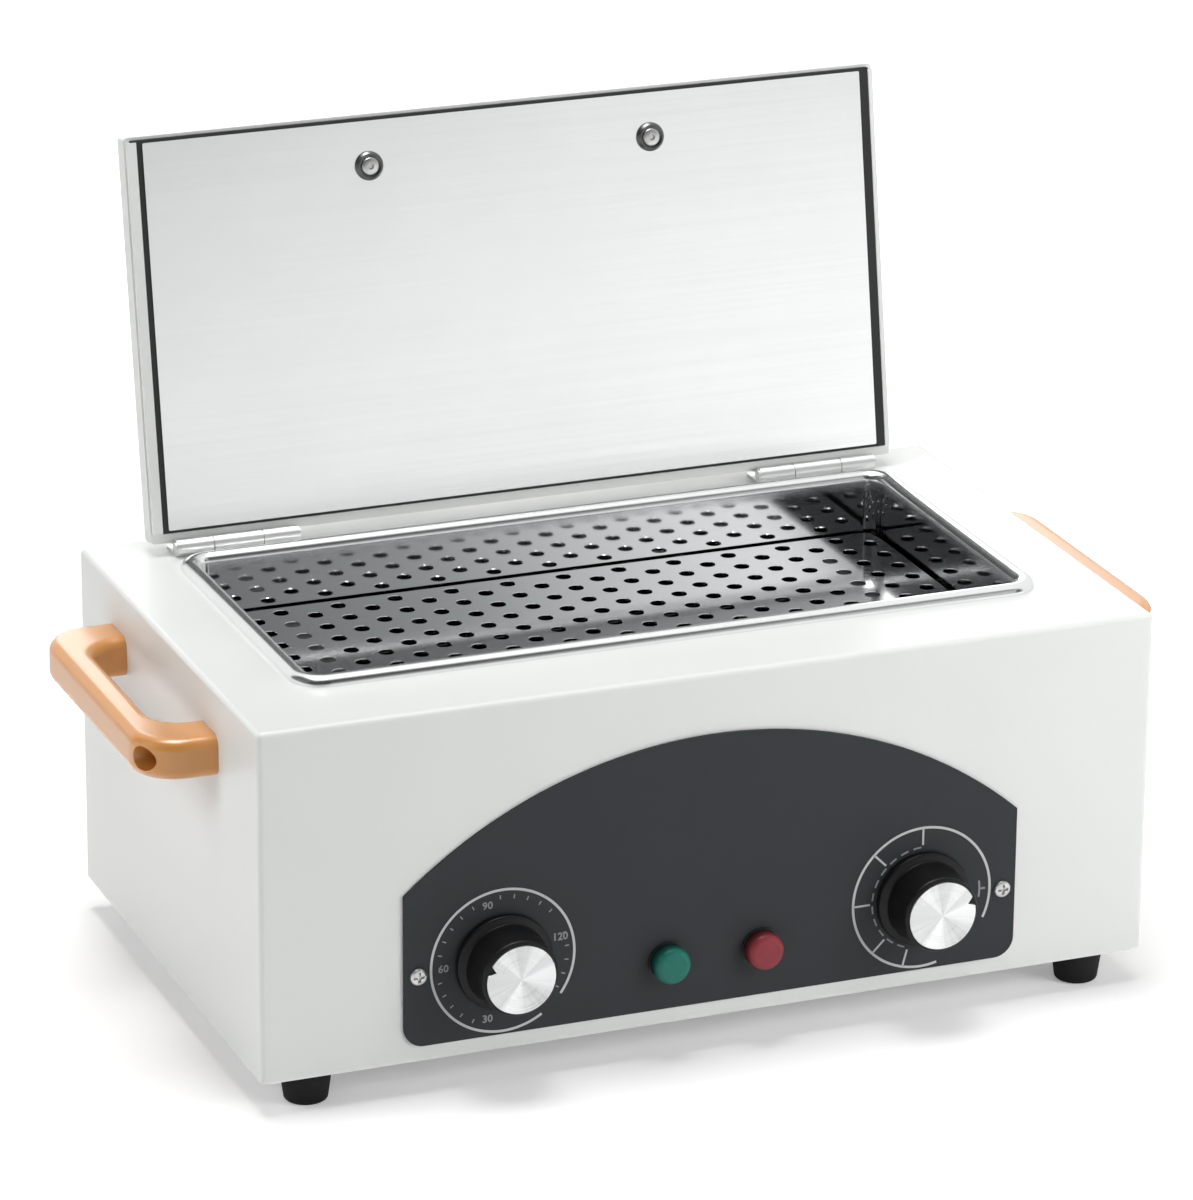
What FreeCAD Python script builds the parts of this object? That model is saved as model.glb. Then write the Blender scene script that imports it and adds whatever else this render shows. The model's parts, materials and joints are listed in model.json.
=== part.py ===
import FreeCAD
import Part
import Sketcher

import math
import operator
import os
from types import SimpleNamespace

# A small dry heat sterilizer: a folded steel case on four rubber feet, a polished tank with a
# perforated tray, and a flat lid on two butt hinges. Lengths are millimetres and angles degrees.
# The origin is on the floor under the middle of the case. X runs right, Y to the back and Z up.
# Pieces of the lid are drawn closed, about the hinge axis, and then turned to the open stop.

CASE_AND_FEET = {
    "case_width": 360, "case_depth": 214, "case_height": 138, "case_sheet": 1.2, "case_bend": 2.0,
    "case_lip": 18, "base_sheet": 1.2, "base_inset": 1.5, "base_corner": 3, "base_screw_edge": 9,
    "vent_long": 34, "vent_wide": 3, "vent_pitch": 9, "vent_rows": 7, "vent_x": 30,
    "foot_height": 12.8, "foot_top_dia": 20, "foot_base_dia": 16.5, "foot_x": 21.5, "foot_y": 12.5,
    "foot_sink_dia": 10, "foot_sink": 8, "foot_round": 1.5,
}
TANK_AND_HEAT = {
    "rim_long": 303, "rim_deep": 150, "rim_front": 36, "rim_bead": 3.8, "rim_corner": 13,
    "tank_sheet": 0.8, "tank_below": 46, "tank_fold": 4.8, "tank_clear": 0.8,
    "tray_below": 21, "tray_sheet": 1.0, "tray_clear": 1.9, "tray_corner": 5, "tray_hole": 6.2,
    "tray_column": 11.8, "tray_row": 13.7, "tray_columns": 24, "tray_rows": 9, "tray_holes_back": 1.6,
    "tray_leg_x": 118, "tray_leg_sheet": 1.0, "tray_leg_foot": 9, "tray_leg_long": 100,
    "wool_thick": 10, "wool_clear": 1.0, "wool_below_case": 0.5,
    "heater_dia": 6.5, "heater_half": 26, "heater_reach": 118, "heater_drop": 32, "heater_bend": 12,
    "heater_gap": 0.2, "press_long": 190, "press_wide": 84, "press_sheet": 1.5,
    "bridge_x": 80, "bridge_wide": 22, "bridge_sheet": 2.0, "bridge_half": 76, "bridge_foot": 14,
    "cutout_dia": 16, "cutout_high": 6.4, "cutout_x": 30, "probe_dia": 6, "probe_long": 70,
    "probe_y": 36, "capillary_dia": 2.4, "capillary_x": 98, "capillary_z": 55, "capillary_bend": 8,
}
PANEL_AND_CONTROLS = {
    "panel_width": 249, "panel_bottom": 5.7, "panel_shoulder": 66.5, "panel_crown": 114,
    "panel_sheet": 1.0, "panel_corner": 8, "panel_screw_edge": 5.6, "panel_screw_z": 34.2,
    "knob_x": 85.3, "knob_z": 35.5, "knob_gap": 0.5, "skirt_dia": 38, "skirt_high": 2.6,
    "knob_waist_dia": 32, "knob_top_dia": 30, "knob_high": 18.2, "knob_round": 1.2, "hub_dia": 17,
    "hub_deep": 5.2, "cap_dia": 27.2, "cap_sheet": 0.9, "notch_deep": 2.7, "notch_wide": 3.8,
    "shaft_dia": 6, "shaft_grip": 9, "shaft_inside": 6, "bush_dia": 9.6,
    "bush_out": 3.0, "control_nut_across": 13, "control_nut": 2.2, "timer_side": 42, "timer_long": 26,
    "heat_dia": 38, "heat_long": 24, "timer_turn": 67, "heat_turn": 71,
    "lamp_x": 19, "lamp_z": 25, "lens_dia": 14.6, "lens_out": 7, "lens_round": 2.6, "lens_seat": 0.4,
    "bezel_dia": 16.2, "bezel_high": 0.8, "lamp_barrel": 11.6, "lamp_long": 24,
    "lamp_nut_across": 16, "lamp_nut": 2.5,
}
MAINS = {
    "inlet_x": 118, "inlet_z": 34, "inlet_wide": 27, "inlet_high": 20, "inlet_long": 22,
    "inlet_flange": 50, "inlet_flange_high": 26, "inlet_sheet": 3,
    "inlet_wall": 1.6, "inlet_socket": 17, "inlet_screw_x": 20, "pin_long": 14, "pin_wide": 2,
    "pin_high": 4, "pin_x": 7, "pin_z": 2, "block_long": 46, "block_wide": 18, "block_high": 16,
    "block_x": 130, "block_y": 45, "block_rib": 2, "block_ways": 4,
}
HANDLES = {
    "grip_long": 132, "grip_reach": 29, "grip_high": 16.2, "grip_leg": 22, "grip_bar": 13,
    "grip_round": 18, "grip_inner": 12, "grip_edge": 4.5, "grip_seat": 8, "grip_sink_dia": 9.5,
    "grip_screw_edge": 9, "grip_z": 112.6, "lid_grip_long": 140, "lid_grip_depth": 12,
}
LID_AND_HINGES = {
    "lid_open": 99.74, "hinge_behind": 4.8, "hinge_rise": 3.7, "hinge_x": 123, "hinge_long": 50,
    "knuckle_mid": 20, "knuckle_gap": 0.4, "knuckle_dia": 6.4, "hinge_pin_dia": 4.5,
    "pin_out": 0.6, "leaf_sheet": 0.9, "leaf_deep": 12, "leaf_high": 11.4, "leaf_screw_x": 16,
    "case_screw_y": 8, "lid_screw_z": 6.5, "lid_side": 5.5, "lid_front": 5.8, "lid_back": 1.7,
    "lid_thick": 12, "lid_sheet": 1.0, "lid_bend": 1.6, "lid_lip": 14, "seal_side": 2.2,
    "seal_rear": 4, "seal_front": 1.1, "seal_thick": 2.1, "seal_corner": 0.8, "seal_over_lip": 1.0,
    "liner_side": 4.5, "liner_edge": 1.2, "liner_sheet": 0.8, "liner_rest": 0.1, "liner_corner": 0.6,
    "board_gap": 0.5, "lid_grip_from_front": 19.9, "washer_dia": 10.8, "washer_sheet": 0.8,
}
FASTENERS = {
    "fit": 0.05, "m5": 5, "m5_head_dia": 8, "m5_head": 2.4, "m4": 4, "m4_head_dia": 7.4,
    "m4_head": 2.4, "m4_nut_across": 7, "m4_nut": 3.2, "m3": 2.8, "m3_head_dia": 5.4,
    "m3_head": 1.8, "m3_long": 6, "panel_head_dia": 6.6, "hole_clear": 0.3, "screw_end": 1,
}
DRIVING = (CASE_AND_FEET | TANK_AND_HEAT | PANEL_AND_CONTROLS | MAINS | HANDLES | LID_AND_HINGES
           | FASTENERS)


# Sizes: ordinary arithmetic on them gives the formula that binds a piece to the sheet

RULES = {"+": operator.add, "-": operator.sub, "*": operator.mul, "/": operator.truediv}


class Size:
    """A number together with the formula that works it out from the sheet."""

    def __init__(self, text, value):
        self.text = text
        self.value = value

    def __add__(self, other):
        return combined(self, "+", other)

    def __radd__(self, other):
        return combined(other, "+", self)

    def __sub__(self, other):
        return combined(self, "-", other)

    def __rsub__(self, other):
        return combined(other, "-", self)

    def __mul__(self, other):
        return combined(self, "*", other)

    def __rmul__(self, other):
        return combined(other, "*", self)

    def __truediv__(self, other):
        return combined(self, "/", other)

    def __neg__(self):
        return combined(0, "-", self)


def as_size(number):
    """A plain number as a size."""
    return number if isinstance(number, Size) else Size(f"({number:g})", float(number))


def combined(left, sign, right):
    """Two sizes or numbers joined by an arithmetic sign."""
    first, second = as_size(left), as_size(right)
    return Size(f"({first.text} {sign} {second.text})", RULES[sign](first.value, second.value))


def amount(size):
    """The number of a size."""
    return as_size(size).value


doc = FreeCAD.newDocument("dry_heat_sterilizer")
sheet = doc.addObject("Spreadsheet::Sheet", "Sizes")
for row, (alias, number) in enumerate(DRIVING.items(), 1):
    sheet.set(f"A{row}", alias)
    sheet.set(f"B{row}", str(number))
    sheet.setAlias(f"B{row}", alias)
doc.recompute()
s = SimpleNamespace(**{alias: Size(f"Sizes.{alias}", number) for alias, number in DRIVING.items()})

X_AXIS = FreeCAD.Vector(1, 0, 0)
Y_AXIS = FreeCAD.Vector(0, 1, 0)
Z_AXIS = FreeCAD.Vector(0, 0, 1)
PLAIN = FreeCAD.Rotation()
ALONG = {"X": FreeCAD.Rotation(Y_AXIS, 90), "Y": FreeCAD.Rotation(X_AXIS, -90), "Z": PLAIN}
TO_FRONT = FreeCAD.Rotation(X_AXIS, 90)
LID_OUTWARD = FreeCAD.Rotation(FreeCAD.Vector(1, 1, 1), -120)
LEFT_AND_RIGHT = {"left": -1, "right": 1}
# How far a cutting tool reaches past the face it opens
PAST = 1
HEX_CORNER = 1 / math.sqrt(3)

case_low = s.foot_height + s.base_sheet
case_top = case_low + s.case_height
half_width = s.case_width / 2
half_depth = s.case_depth / 2
front_inside = s.case_sheet - half_depth
panel_face = -half_depth - s.panel_sheet
panel_screw_x = s.panel_width / 2 - s.panel_screw_edge
tank_y = s.rim_front + s.rim_deep / 2 - half_depth
rim_x = s.rim_long / 2 - s.rim_bead
rim_y = s.rim_deep / 2 - s.rim_bead
rim_round = s.rim_corner - s.rim_bead
tank_x = rim_x - s.rim_bead
tank_half_y = rim_y - s.rim_bead
tank_round = rim_round - s.rim_bead
tank_floor = case_top - s.tank_below
tank_under = tank_floor - s.tank_sheet
press_top = tank_under - s.heater_dia - 2 * s.heater_gap
bridge_top = press_top - s.press_sheet
control_z = case_low + s.knob_z
lamp_z = case_low + s.lamp_z
hinge_y = tank_y + s.rim_deep / 2 + s.hinge_behind
axis_z = case_top + s.hinge_rise
lid_x = s.rim_long / 2 + s.lid_side
lid_rear = -s.lid_back
lid_near = tank_y - s.rim_deep / 2 - s.lid_front - hinge_y
grip_line = lid_near + s.lid_grip_from_front
liner_low = s.rim_bead + s.liner_rest - s.hinge_rise
seal_low = liner_low + s.liner_sheet
lid_low = seal_low + s.seal_thick
lid_top = liner_low + s.lid_thick
handle_screw = s.grip_long / 2 - s.grip_screw_edge
lid_handle_screw = s.lid_grip_long / 2 - s.grip_leg / 2
lid_handle_spots = [(-lid_handle_screw, grip_line), (lid_handle_screw, grip_line)]
handle_z = case_low + s.grip_z


# Helpers

def bind(item, prop, size):
    """Tie a property to the sheet."""
    item.setExpression(prop, as_size(size).text)


def place(item, spot, turn=PLAIN):
    """Turn a piece and tie its place to the sheet."""
    item.Placement = FreeCAD.Placement(FreeCAD.Vector(*map(amount, spot)), turn)
    for letter, size in zip("xyz", spot):
        bind(item, f"Placement.Base.{letter}", size)
    return item


def box(low, high):
    """Block between its lowest and highest corners."""
    item = doc.addObject("Part::Box", "Block")
    for prop, start, end in zip(("Length", "Width", "Height"), low, high):
        bind(item, prop, end - start)
    return place(item, low)


def rod(diameter, length, start, axis="Z"):
    """Round bar that grows from its start along an axis."""
    item = doc.addObject("Part::Cylinder", "Rod")
    bind(item, "Radius", diameter / 2)
    bind(item, "Height", length)
    return place(item, start, ALONG[axis])


def cone(low_diameter, high_diameter, length, start, axis="Z"):
    """Tapered bar that grows from its start along an axis."""
    item = doc.addObject("Part::Cone", "Taper")
    bind(item, "Radius1", low_diameter / 2)
    bind(item, "Radius2", high_diameter / 2)
    bind(item, "Height", length)
    return place(item, start, ALONG[axis])


def hexagon(across, length, start, axis="Z"):
    """Six sided bar, given by its width across flats."""
    item = doc.addObject("Part::Prism", "Hexagon")
    item.Polygon = 6
    bind(item, "Circumradius", across * HEX_CORNER)
    bind(item, "Height", length)
    return place(item, start, ALONG[axis])


def group(pieces, label="Group"):
    """Several solids kept as one piece, side by side."""
    item = doc.addObject("Part::Compound", "Group")
    item.Links = pieces
    item.Label = label
    return item


def fused(pieces, label="Fused"):
    """Several solids melted into one."""
    item = doc.addObject("Part::MultiFuse", "Fused")
    item.Shapes = pieces
    item.Label = label
    return item


def cut(base, tools, label="Cut"):
    """A solid less its holes."""
    item = doc.addObject("Part::Cut", "Drilled")
    item.Base = base
    item.Tool = group(tools) if len(tools) > 1 else tools[0]
    item.Label = label
    return item


def new_body(name="Form"):
    """An empty body."""
    return doc.addObject("PartDesign::Body", name)


def sketch_on(body, role, rise=0):
    """Empty sketch on one of the body's own planes, moved along its normal."""
    sketch = body.newObject("Sketcher::SketchObject", "Outline")
    plane = next(item for item in body.Origin.OriginFeatures if item.Role == role)
    sketch.AttachmentSupport = [(plane, "")]
    sketch.MapMode = "FlatFace"
    bind(sketch, "AttachmentOffset.Base.z", rise)
    return sketch


def measure(sketch, kind, size, *spot):
    """A dimension of a sketch tied to the sheet."""
    number = sketch.addConstraint(Sketcher.Constraint(kind, *spot, amount(size)))
    bind(sketch, f"Constraints[{number}]", size)


def pin(sketch, edge, point, spot):
    """Hold a point of a sketch at its distances from the origin."""
    for kind, axis, size in zip(("DistanceX", "DistanceY"), (-2, -1), spot):
        if abs(amount(size)) < 1e-9:
            sketch.addConstraint(Sketcher.Constraint("PointOnObject", edge, point, axis))
        else:
            measure(sketch, kind, size, -1, 1, edge, point)


def arc_between(start, end, radius):
    """Arc that runs anticlockwise from start to end."""
    chord = end - start
    middle = (start + end) / 2
    rise = math.sqrt(max(radius ** 2 - (chord.Length / 2) ** 2, 0))
    left = FreeCAD.Vector(-chord.y, chord.x, 0).normalize()
    centre = middle + left * rise
    angles = [math.atan2(spot.y - centre.y, spot.x - centre.x) for spot in (start, end)]
    return Part.ArcOfCircle(Part.Circle(centre, Z_AXIS, radius), *angles)


def outline(sketch, corners, arcs=None):
    """Closed loop through the corners. arcs holds the radius of each edge that bulges."""
    arcs = arcs or {}
    spots = [FreeCAD.Vector(amount(x), amount(y), 0) for x, y in corners]
    first = sketch.GeometryCount
    for step, spot in enumerate(spots):
        following = spots[(step + 1) % len(spots)]
        if step in arcs:
            sketch.addGeometry(arc_between(spot, following, amount(arcs[step])), False)
        else:
            sketch.addGeometry(Part.LineSegment(spot, following), False)
    for step in range(len(spots)):
        following = (step + 1) % len(spots)
        sketch.addConstraint(Sketcher.Constraint("Coincident", first + step, 2, first + following, 1))
    for step, corner in enumerate(corners):
        pin(sketch, first + step, 1, corner)
    for step, radius in arcs.items():
        measure(sketch, "Radius", radius, first + step)


def circle(sketch, spot, radius):
    """Circle about a spot."""
    centre = FreeCAD.Vector(amount(spot[0]), amount(spot[1]), 0)
    number = sketch.addGeometry(Part.Circle(centre, Z_AXIS, amount(radius)), False)
    pin(sketch, number, 3, spot)
    measure(sketch, "Radius", radius, number)


def rectangle(sketch, low, high):
    """Rectangle between two corners."""
    outline(sketch, [low, (high[0], low[1]), high, (low[0], high[1])])


def feature(body, kind, sketch, **settings):
    """One step of a body made from a sketch."""
    step = body.newObject(f"PartDesign::{kind}", kind)
    step.Profile = sketch
    for prop, value in settings.items():
        if isinstance(value, Size):
            bind(step, prop, value)
        else:
            setattr(step, prop, value)
    doc.recompute()
    body.Tip = step
    return step


def edges_where(step, wanted):
    """Names of the edges of a step for which wanted(box, edge) holds."""
    return [f"Edge{n}" for n, edge in enumerate(step.Shape.Edges, 1) if wanted(edge.BoundBox, edge)]


def upright(bounds, _edge=None):
    """Whether an edge stands along Z."""
    return bounds.XLength < 1e-4 and bounds.YLength < 1e-4


def rounded(body, names, radius):
    """Round some edges of the body's last step."""
    last = body.Tip
    step = body.newObject("PartDesign::Fillet", "Round")
    step.Base = (last, names)
    bind(step, "Radius", radius)
    doc.recompute()
    body.Tip = step
    return step


def hollowed(body, wanted, gauge):
    """Turn the body into sheet of one gauge, open where wanted(box) holds for a face."""
    last = body.Tip
    names = [f"Face{n}" for n, face in enumerate(last.Shape.Faces, 1) if wanted(face.BoundBox)]
    step = body.newObject("PartDesign::Thickness", "Sheet")
    step.Base = (last, names)
    step.Join = "Arc"
    step.Reversed = True
    bind(step, "Value", gauge)
    doc.recompute()
    body.Tip = step
    return step


def slab(low, high, radius=None):
    """Flat plate or block between two corners, its upright edges rounded."""
    body = new_body("Slab")
    sketch = sketch_on(body, "XY_Plane", low[2])
    rectangle(sketch, low[:2], high[:2])
    step = feature(body, "Pad", sketch, Length=high[2] - low[2])
    if radius is not None:
        rounded(body, edges_where(step, upright), radius)
    return body


def turned(corners, arcs=None):
    """Solid of revolution about Z from a profile of radii and heights."""
    body = new_body("Turned")
    sketch = sketch_on(body, "XZ_Plane")
    outline(sketch, corners, arcs)
    feature(body, "Revolution", sketch, ReferenceAxis=(sketch, ["V_Axis"]), Angle=360)
    return body


def folded(low, high, gauge, bend, lip):
    """Box folded from sheet, open below, with a lip turned in all round its lower edge."""
    body = slab(low, high)
    crown = amount(high[2]) - 1e-3
    step = body.Tip
    rounded(body, edges_where(step, lambda b, e: upright(b) or b.ZMin > crown), bend)
    floor = amount(low[2]) + 1e-3
    hollowed(body, lambda b: b.ZMax < floor, gauge)
    sketch = sketch_on(body, "XY_Plane", low[2])
    inner = gauge / 2
    rectangle(sketch, (low[0] + inner, low[1] + inner), (high[0] - inner, high[1] - inner))
    rectangle(sketch, (low[0] + lip, low[1] + lip), (high[0] - lip, high[1] - lip))
    feature(body, "Pad", sketch, Length=gauge)
    return body


def tube(label, diameter, corners):
    """Round bar along straight runs. Each inner corner has the radius of its bend."""
    spots = [FreeCAD.Vector(*map(amount, corner[:3])) for corner in corners]
    edges, last = [], spots[0]
    for number in range(1, len(spots) - 1):
        before = (spots[number - 1] - spots[number]).normalize()
        after = (spots[number + 1] - spots[number]).normalize()
        radius = amount(corners[number][3])
        half_turn = before.getAngle(after) / 2
        reach = radius / math.tan(half_turn)
        into, out = spots[number] + before * reach, spots[number] + after * reach
        towards = (before + after).normalize()
        middle = spots[number] + towards * (radius / math.sin(half_turn) - radius)
        if (into - last).Length > 1e-6:
            edges.append(Part.LineSegment(last, into).toShape())
        edges.append(Part.Arc(into, middle, out).toShape())
        last = out
    edges.append(Part.LineSegment(last, spots[-1]).toShape())
    path = Part.Wire(edges)
    ring = Part.Wire(Part.Circle(spots[0], spots[1] - spots[0], amount(diameter) / 2).toShape())
    item = doc.addObject("Part::Feature", "Tube")
    item.Shape = path.makePipeShell([ring], True, False)
    item.Label = label
    return item


NODES = []


def keep(item, label):
    """Name a finished sub-part and list it for export."""
    item.Label = label
    NODES.append(item)
    return item


def hang(item):
    """Turn a piece of the lid from its closed place to the open stop."""
    place(item, (0, hinge_y, axis_z), FreeCAD.Rotation(-X_AXIS, amount(s.lid_open)))
    bind(item, "Placement.Rotation.Angle", s.lid_open)
    return item


def about_hinge(item):
    """Stand a piece of the case that is drawn about the hinge axis."""
    return place(item, (0, hinge_y, axis_z))


def hole(diameter, clearance=s.hole_clear):
    """Diameter of the hole that a screw or a bush passes with clearance all round."""
    return diameter + 2 * clearance


# Case, base plate and feet

def foot_spots():
    """Where the four feet stand, by name."""
    rows = {"front": s.foot_y - half_depth, "rear": half_depth - s.foot_y}
    sides = {"left": s.foot_x - half_width, "right": half_width - s.foot_x}
    return {f"{row}_{side}": (x, y) for row, y in rows.items() for side, x in sides.items()}


def base_screw_spots():
    """Middle of each side of the base plate."""
    x, y = half_width - s.base_screw_edge, half_depth - s.base_screw_edge
    return [(-x, 0), (x, 0), (0, -y), (0, y)]


def tank_opening():
    """Hole in the case top that the tank hangs through."""
    x, y = tank_x + s.tank_sheet + s.tank_clear, tank_half_y + s.tank_sheet + s.tank_clear
    low = (-x, tank_y - y, case_top - 3 * s.case_sheet)
    high = (x, tank_y + y, case_top + s.case_sheet)
    return slab(low, high, tank_round + s.tank_sheet + s.tank_clear)


def case_holes():
    """Everything that is pierced through the folded case."""
    deep = 3 * s.case_sheet
    front, rear = -half_depth - s.case_sheet, half_depth - 2 * s.case_sheet
    tools = [tank_opening()]
    for x in (-s.knob_x, s.knob_x):
        tools.append(rod(hole(s.bush_dia), deep, (x, front, control_z), "Y"))
    for x in (-s.lamp_x, s.lamp_x):
        tools.append(rod(hole(s.lamp_barrel), deep, (x, front, lamp_z), "Y"))
    for x in (-panel_screw_x, panel_screw_x):
        tools.append(rod(hole(s.m3, s.fit), deep, (x, front, case_low + s.panel_screw_z), "Y"))
    wide, high = s.inlet_wide / 2 + s.hole_clear, s.inlet_high / 2 + s.hole_clear
    level = case_low + s.inlet_z
    tools.append(box((s.inlet_x - wide, rear, level - high), (s.inlet_x + wide, rear + deep, level + high)))
    for x in (-s.inlet_screw_x, s.inlet_screw_x):
        tools.append(rod(hole(s.m3, s.fit), deep, (s.inlet_x + x, rear, level), "Y"))
    for y in (-handle_screw, handle_screw):
        spot = (-half_width - s.case_sheet, tank_y + y, handle_z)
        tools.append(rod(hole(s.m4), s.case_width + deep, spot, "X"))
    for x, y in foot_spots().values():
        tools.append(rod(hole(s.m4), deep, (x, y, case_low - s.case_sheet)))
    for x, y in base_screw_spots():
        tools.append(rod(hole(s.m3, s.fit), deep, (x, y, case_low - s.case_sheet)))
    for side in LEFT_AND_RIGHT.values():
        for x in (-s.leaf_screw_x, s.leaf_screw_x):
            spot = (side * s.hinge_x + x, hinge_y + s.case_screw_y, case_top - 2 * s.case_sheet)
            tools.append(rod(hole(s.m3, s.fit), deep, spot))
    return tools


def case_shell():
    """White case folded from steel sheet, with lips that the base plate is screwed to."""
    low, high = (-half_width, -half_depth, case_low), (half_width, half_depth, case_top)
    shell = folded(low, high, s.case_sheet, s.case_bend, s.case_lip)
    keep(cut(shell, case_holes()), "case_shell")


def base_plate():
    """Flat base with two groups of vent slots, screwed under the lips of the case."""
    x, y = half_width - s.base_inset, half_depth - s.base_inset
    plate = slab((-x, -y, s.foot_height), (x, y, case_low), s.base_corner)
    sketch = sketch_on(plate, "XY_Plane", case_low)
    first = -s.vent_pitch * (s.vent_rows - 1) / 2 - s.vent_wide / 2
    rectangle(sketch, (s.vent_x, first), (s.vent_x + s.vent_long, first + s.vent_wide))
    slot = feature(plate, "Pocket", sketch, Length=2 * s.base_sheet)
    pattern(plate, slot, sketch, "V_Axis", s.vent_pitch * (s.vent_rows - 1), s.vent_rows, mirrored="V_Axis")
    tools = [rod(hole(s.m4), 3 * s.base_sheet, (x, y, s.foot_height - s.base_sheet))
             for x, y in foot_spots().values()]
    tools += [rod(hole(s.m3), 3 * s.base_sheet, (x, y, s.foot_height - s.base_sheet))
              for x, y in base_screw_spots()]
    keep(cut(plate, tools), "base_plate")


def pattern(body, step, sketch, axis, length, count, second=None, mirrored=None):
    """Repeat a step along an axis of its sketch, and along a second one or in a mirror."""
    many = body.newObject("PartDesign::MultiTransform", "Pattern")
    many.Originals = [step]
    many.Refine = False
    rows = [(axis, length, count)] + ([second] if second else [])
    moves = []
    for direction, reach, copies in rows:
        move = doc.addObject("PartDesign::LinearPattern", "Row")
        move.Direction = (sketch, [direction])
        bind(move, "Length", reach)
        bind(move, "Occurrences", copies)
        moves.append(move)
    if mirrored:
        mirror = doc.addObject("PartDesign::Mirrored", "Mirror")
        mirror.MirrorPlane = (sketch, [mirrored])
        moves.append(mirror)
    many.Transformations = moves
    body.Tip = many
    doc.recompute()
    return many


def screws(spots, shank, head, long, heads_at, axis="Z", label=None):
    """Like screws in one group. heads_at is 1 where the heads lie at the far end of the axis."""
    pieces = []
    index = "XYZ".index(axis)
    for spot in spots:
        diameter, thick = head
        low = list(spot)
        if heads_at < 0:
            low[index] = spot[index] - thick
            pieces.append(fused([rod(diameter, thick, low, axis), rod(shank, long, spot, axis)]))
        else:
            low[index] = spot[index] - long
            pieces.append(fused([rod(diameter, thick, spot, axis), rod(shank, long, low, axis)]))
    return group(pieces, label or "Screws")


def nut(across, thread, high, start, axis="Z"):
    """Hexagon nut that grows from its start along an axis."""
    index = "XYZ".index(axis)
    low = list(start)
    low[index] = start[index] - high
    return cut(hexagon(across, high, start, axis), [rod(thread + 2 * s.fit, 3 * high, low, axis)])


def feet():
    """Four tapered rubber feet, their screws and nuts."""
    bore, sink = hole(s.m4) / 2, s.foot_sink_dia / 2
    profile = [(sink, 0), (s.foot_base_dia / 2, 0), (s.foot_top_dia / 2, s.foot_height),
               (bore, s.foot_height), (bore, s.foot_sink), (sink, s.foot_sink)]
    for name, (x, y) in foot_spots().items():
        foot = turned(profile)
        rim = amount(s.foot_base_dia) - 0.1
        rounded(foot, edges_where(foot.Tip, lambda b, e: b.ZMax < 1e-4 and b.XLength > rim), s.foot_round)
        keep(place(foot, (x, y, 0)), f"foot_{name}")
    spots = [(x, y, s.foot_sink) for x, y in foot_spots().values()]
    head = (s.m4_head_dia, s.m4_head)
    stack = s.foot_height - s.foot_sink + s.base_sheet + s.case_sheet
    keep(screws(spots, s.m4, head, stack + s.m4_nut + s.screw_end, -1), "foot_screws")
    level = case_low + s.case_sheet
    keep(group([nut(s.m4_nut_across, s.m4, s.m4_nut, (x, y, level)) for x, y, _ in spots]), "foot_nuts")


def base_screws():
    """Screws that hold the base plate to the lips of the case."""
    spots = [(x, y, s.foot_height) for x, y in base_screw_spots()]
    keep(screws(spots, s.m3, (s.m3_head_dia, s.m3_head), s.m3_long, -1), "base_screws")


# Tank, tray and heating

def tank_rim(body):
    """Bead rolled over the case top round the tank."""
    spine = sketch_on(body, "XY_Plane", case_top)
    lay_spine(spine)
    section = sketch_on(body, "XZ_Plane", -tank_y)
    half_ring(section, (rim_x, case_top), s.rim_bead, s.rim_bead - s.tank_sheet)
    doc.recompute()
    bead = body.newObject("PartDesign::AdditivePipe", "Bead")
    bead.Profile = section
    bead.Spine = spine
    doc.recompute()
    body.Tip = bead


def lay_spine(sketch):
    """Rounded rectangle that starts in the middle of its right side."""
    left, right, near, far = -rim_x, rim_x, tank_y - rim_y, tank_y + rim_y
    turns = [(right, far), (left, far), (left, near), (right, near)]
    middles = [(right, tank_y)]
    spots = []
    for x, y in turns:
        inward = (x - rim_round if amount(x) > 0 else x + rim_round)
        along = (y - rim_round if amount(y) > amount(tank_y) else y + rim_round)
        corner = [(x, along), (inward, y)]
        spots += corner if turns.index((x, y)) % 2 == 0 else corner[::-1]
    outline(sketch, middles + spots, {step: rim_round for step in (1, 3, 5, 7)})


def half_ring(sketch, centre, outer, inner):
    """Upper half of a ring about a centre on the sketch."""
    middle = FreeCAD.Vector(amount(centre[0]), amount(centre[1]), 0)
    for radius in (outer, inner):
        ring = Part.Circle(middle, Z_AXIS, amount(radius))
        sketch.addGeometry(Part.ArcOfCircle(ring, 0, math.pi), False)
    for side, near, far in ((1, 1, 1), (-1, 2, 2)):
        start = middle + X_AXIS * side * amount(outer)
        end = middle + X_AXIS * side * amount(inner)
        line = sketch.addGeometry(Part.LineSegment(start, end), False)
        sketch.addConstraint(Sketcher.Constraint("Coincident", line, 1, 0, near))
        sketch.addConstraint(Sketcher.Constraint("Coincident", line, 2, 1, far))
        sketch.addConstraint(Sketcher.Constraint("Horizontal", line))
    sketch.addConstraint(Sketcher.Constraint("Coincident", 0, 3, 1, 3))
    sketch.addConstraint(Sketcher.Constraint("Horizontal", 0, 3, 0, 1))
    sketch.addConstraint(Sketcher.Constraint("Horizontal", 0, 3, 0, 2))
    pin(sketch, 0, 3, centre)
    measure(sketch, "Radius", outer, 0)
    measure(sketch, "Radius", inner, 1)


def chamber_tank():
    """Deep drawn polished tank whose bead rests on the case top."""
    x, y = tank_x + s.tank_sheet, tank_half_y + s.tank_sheet
    tank = slab((-x, tank_y - y, tank_under), (x, tank_y + y, case_top), tank_round + s.tank_sheet)
    low = amount(tank_under) + 1e-3
    rounded(tank, edges_where(tank.Tip, lambda b, e: b.ZMax < low), s.tank_fold)
    mouth = amount(case_top) - 1e-3
    hollowed(tank, lambda b: b.ZMin > mouth, s.tank_sheet)
    tank_rim(tank)
    keep(tank, "chamber_tank")


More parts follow.
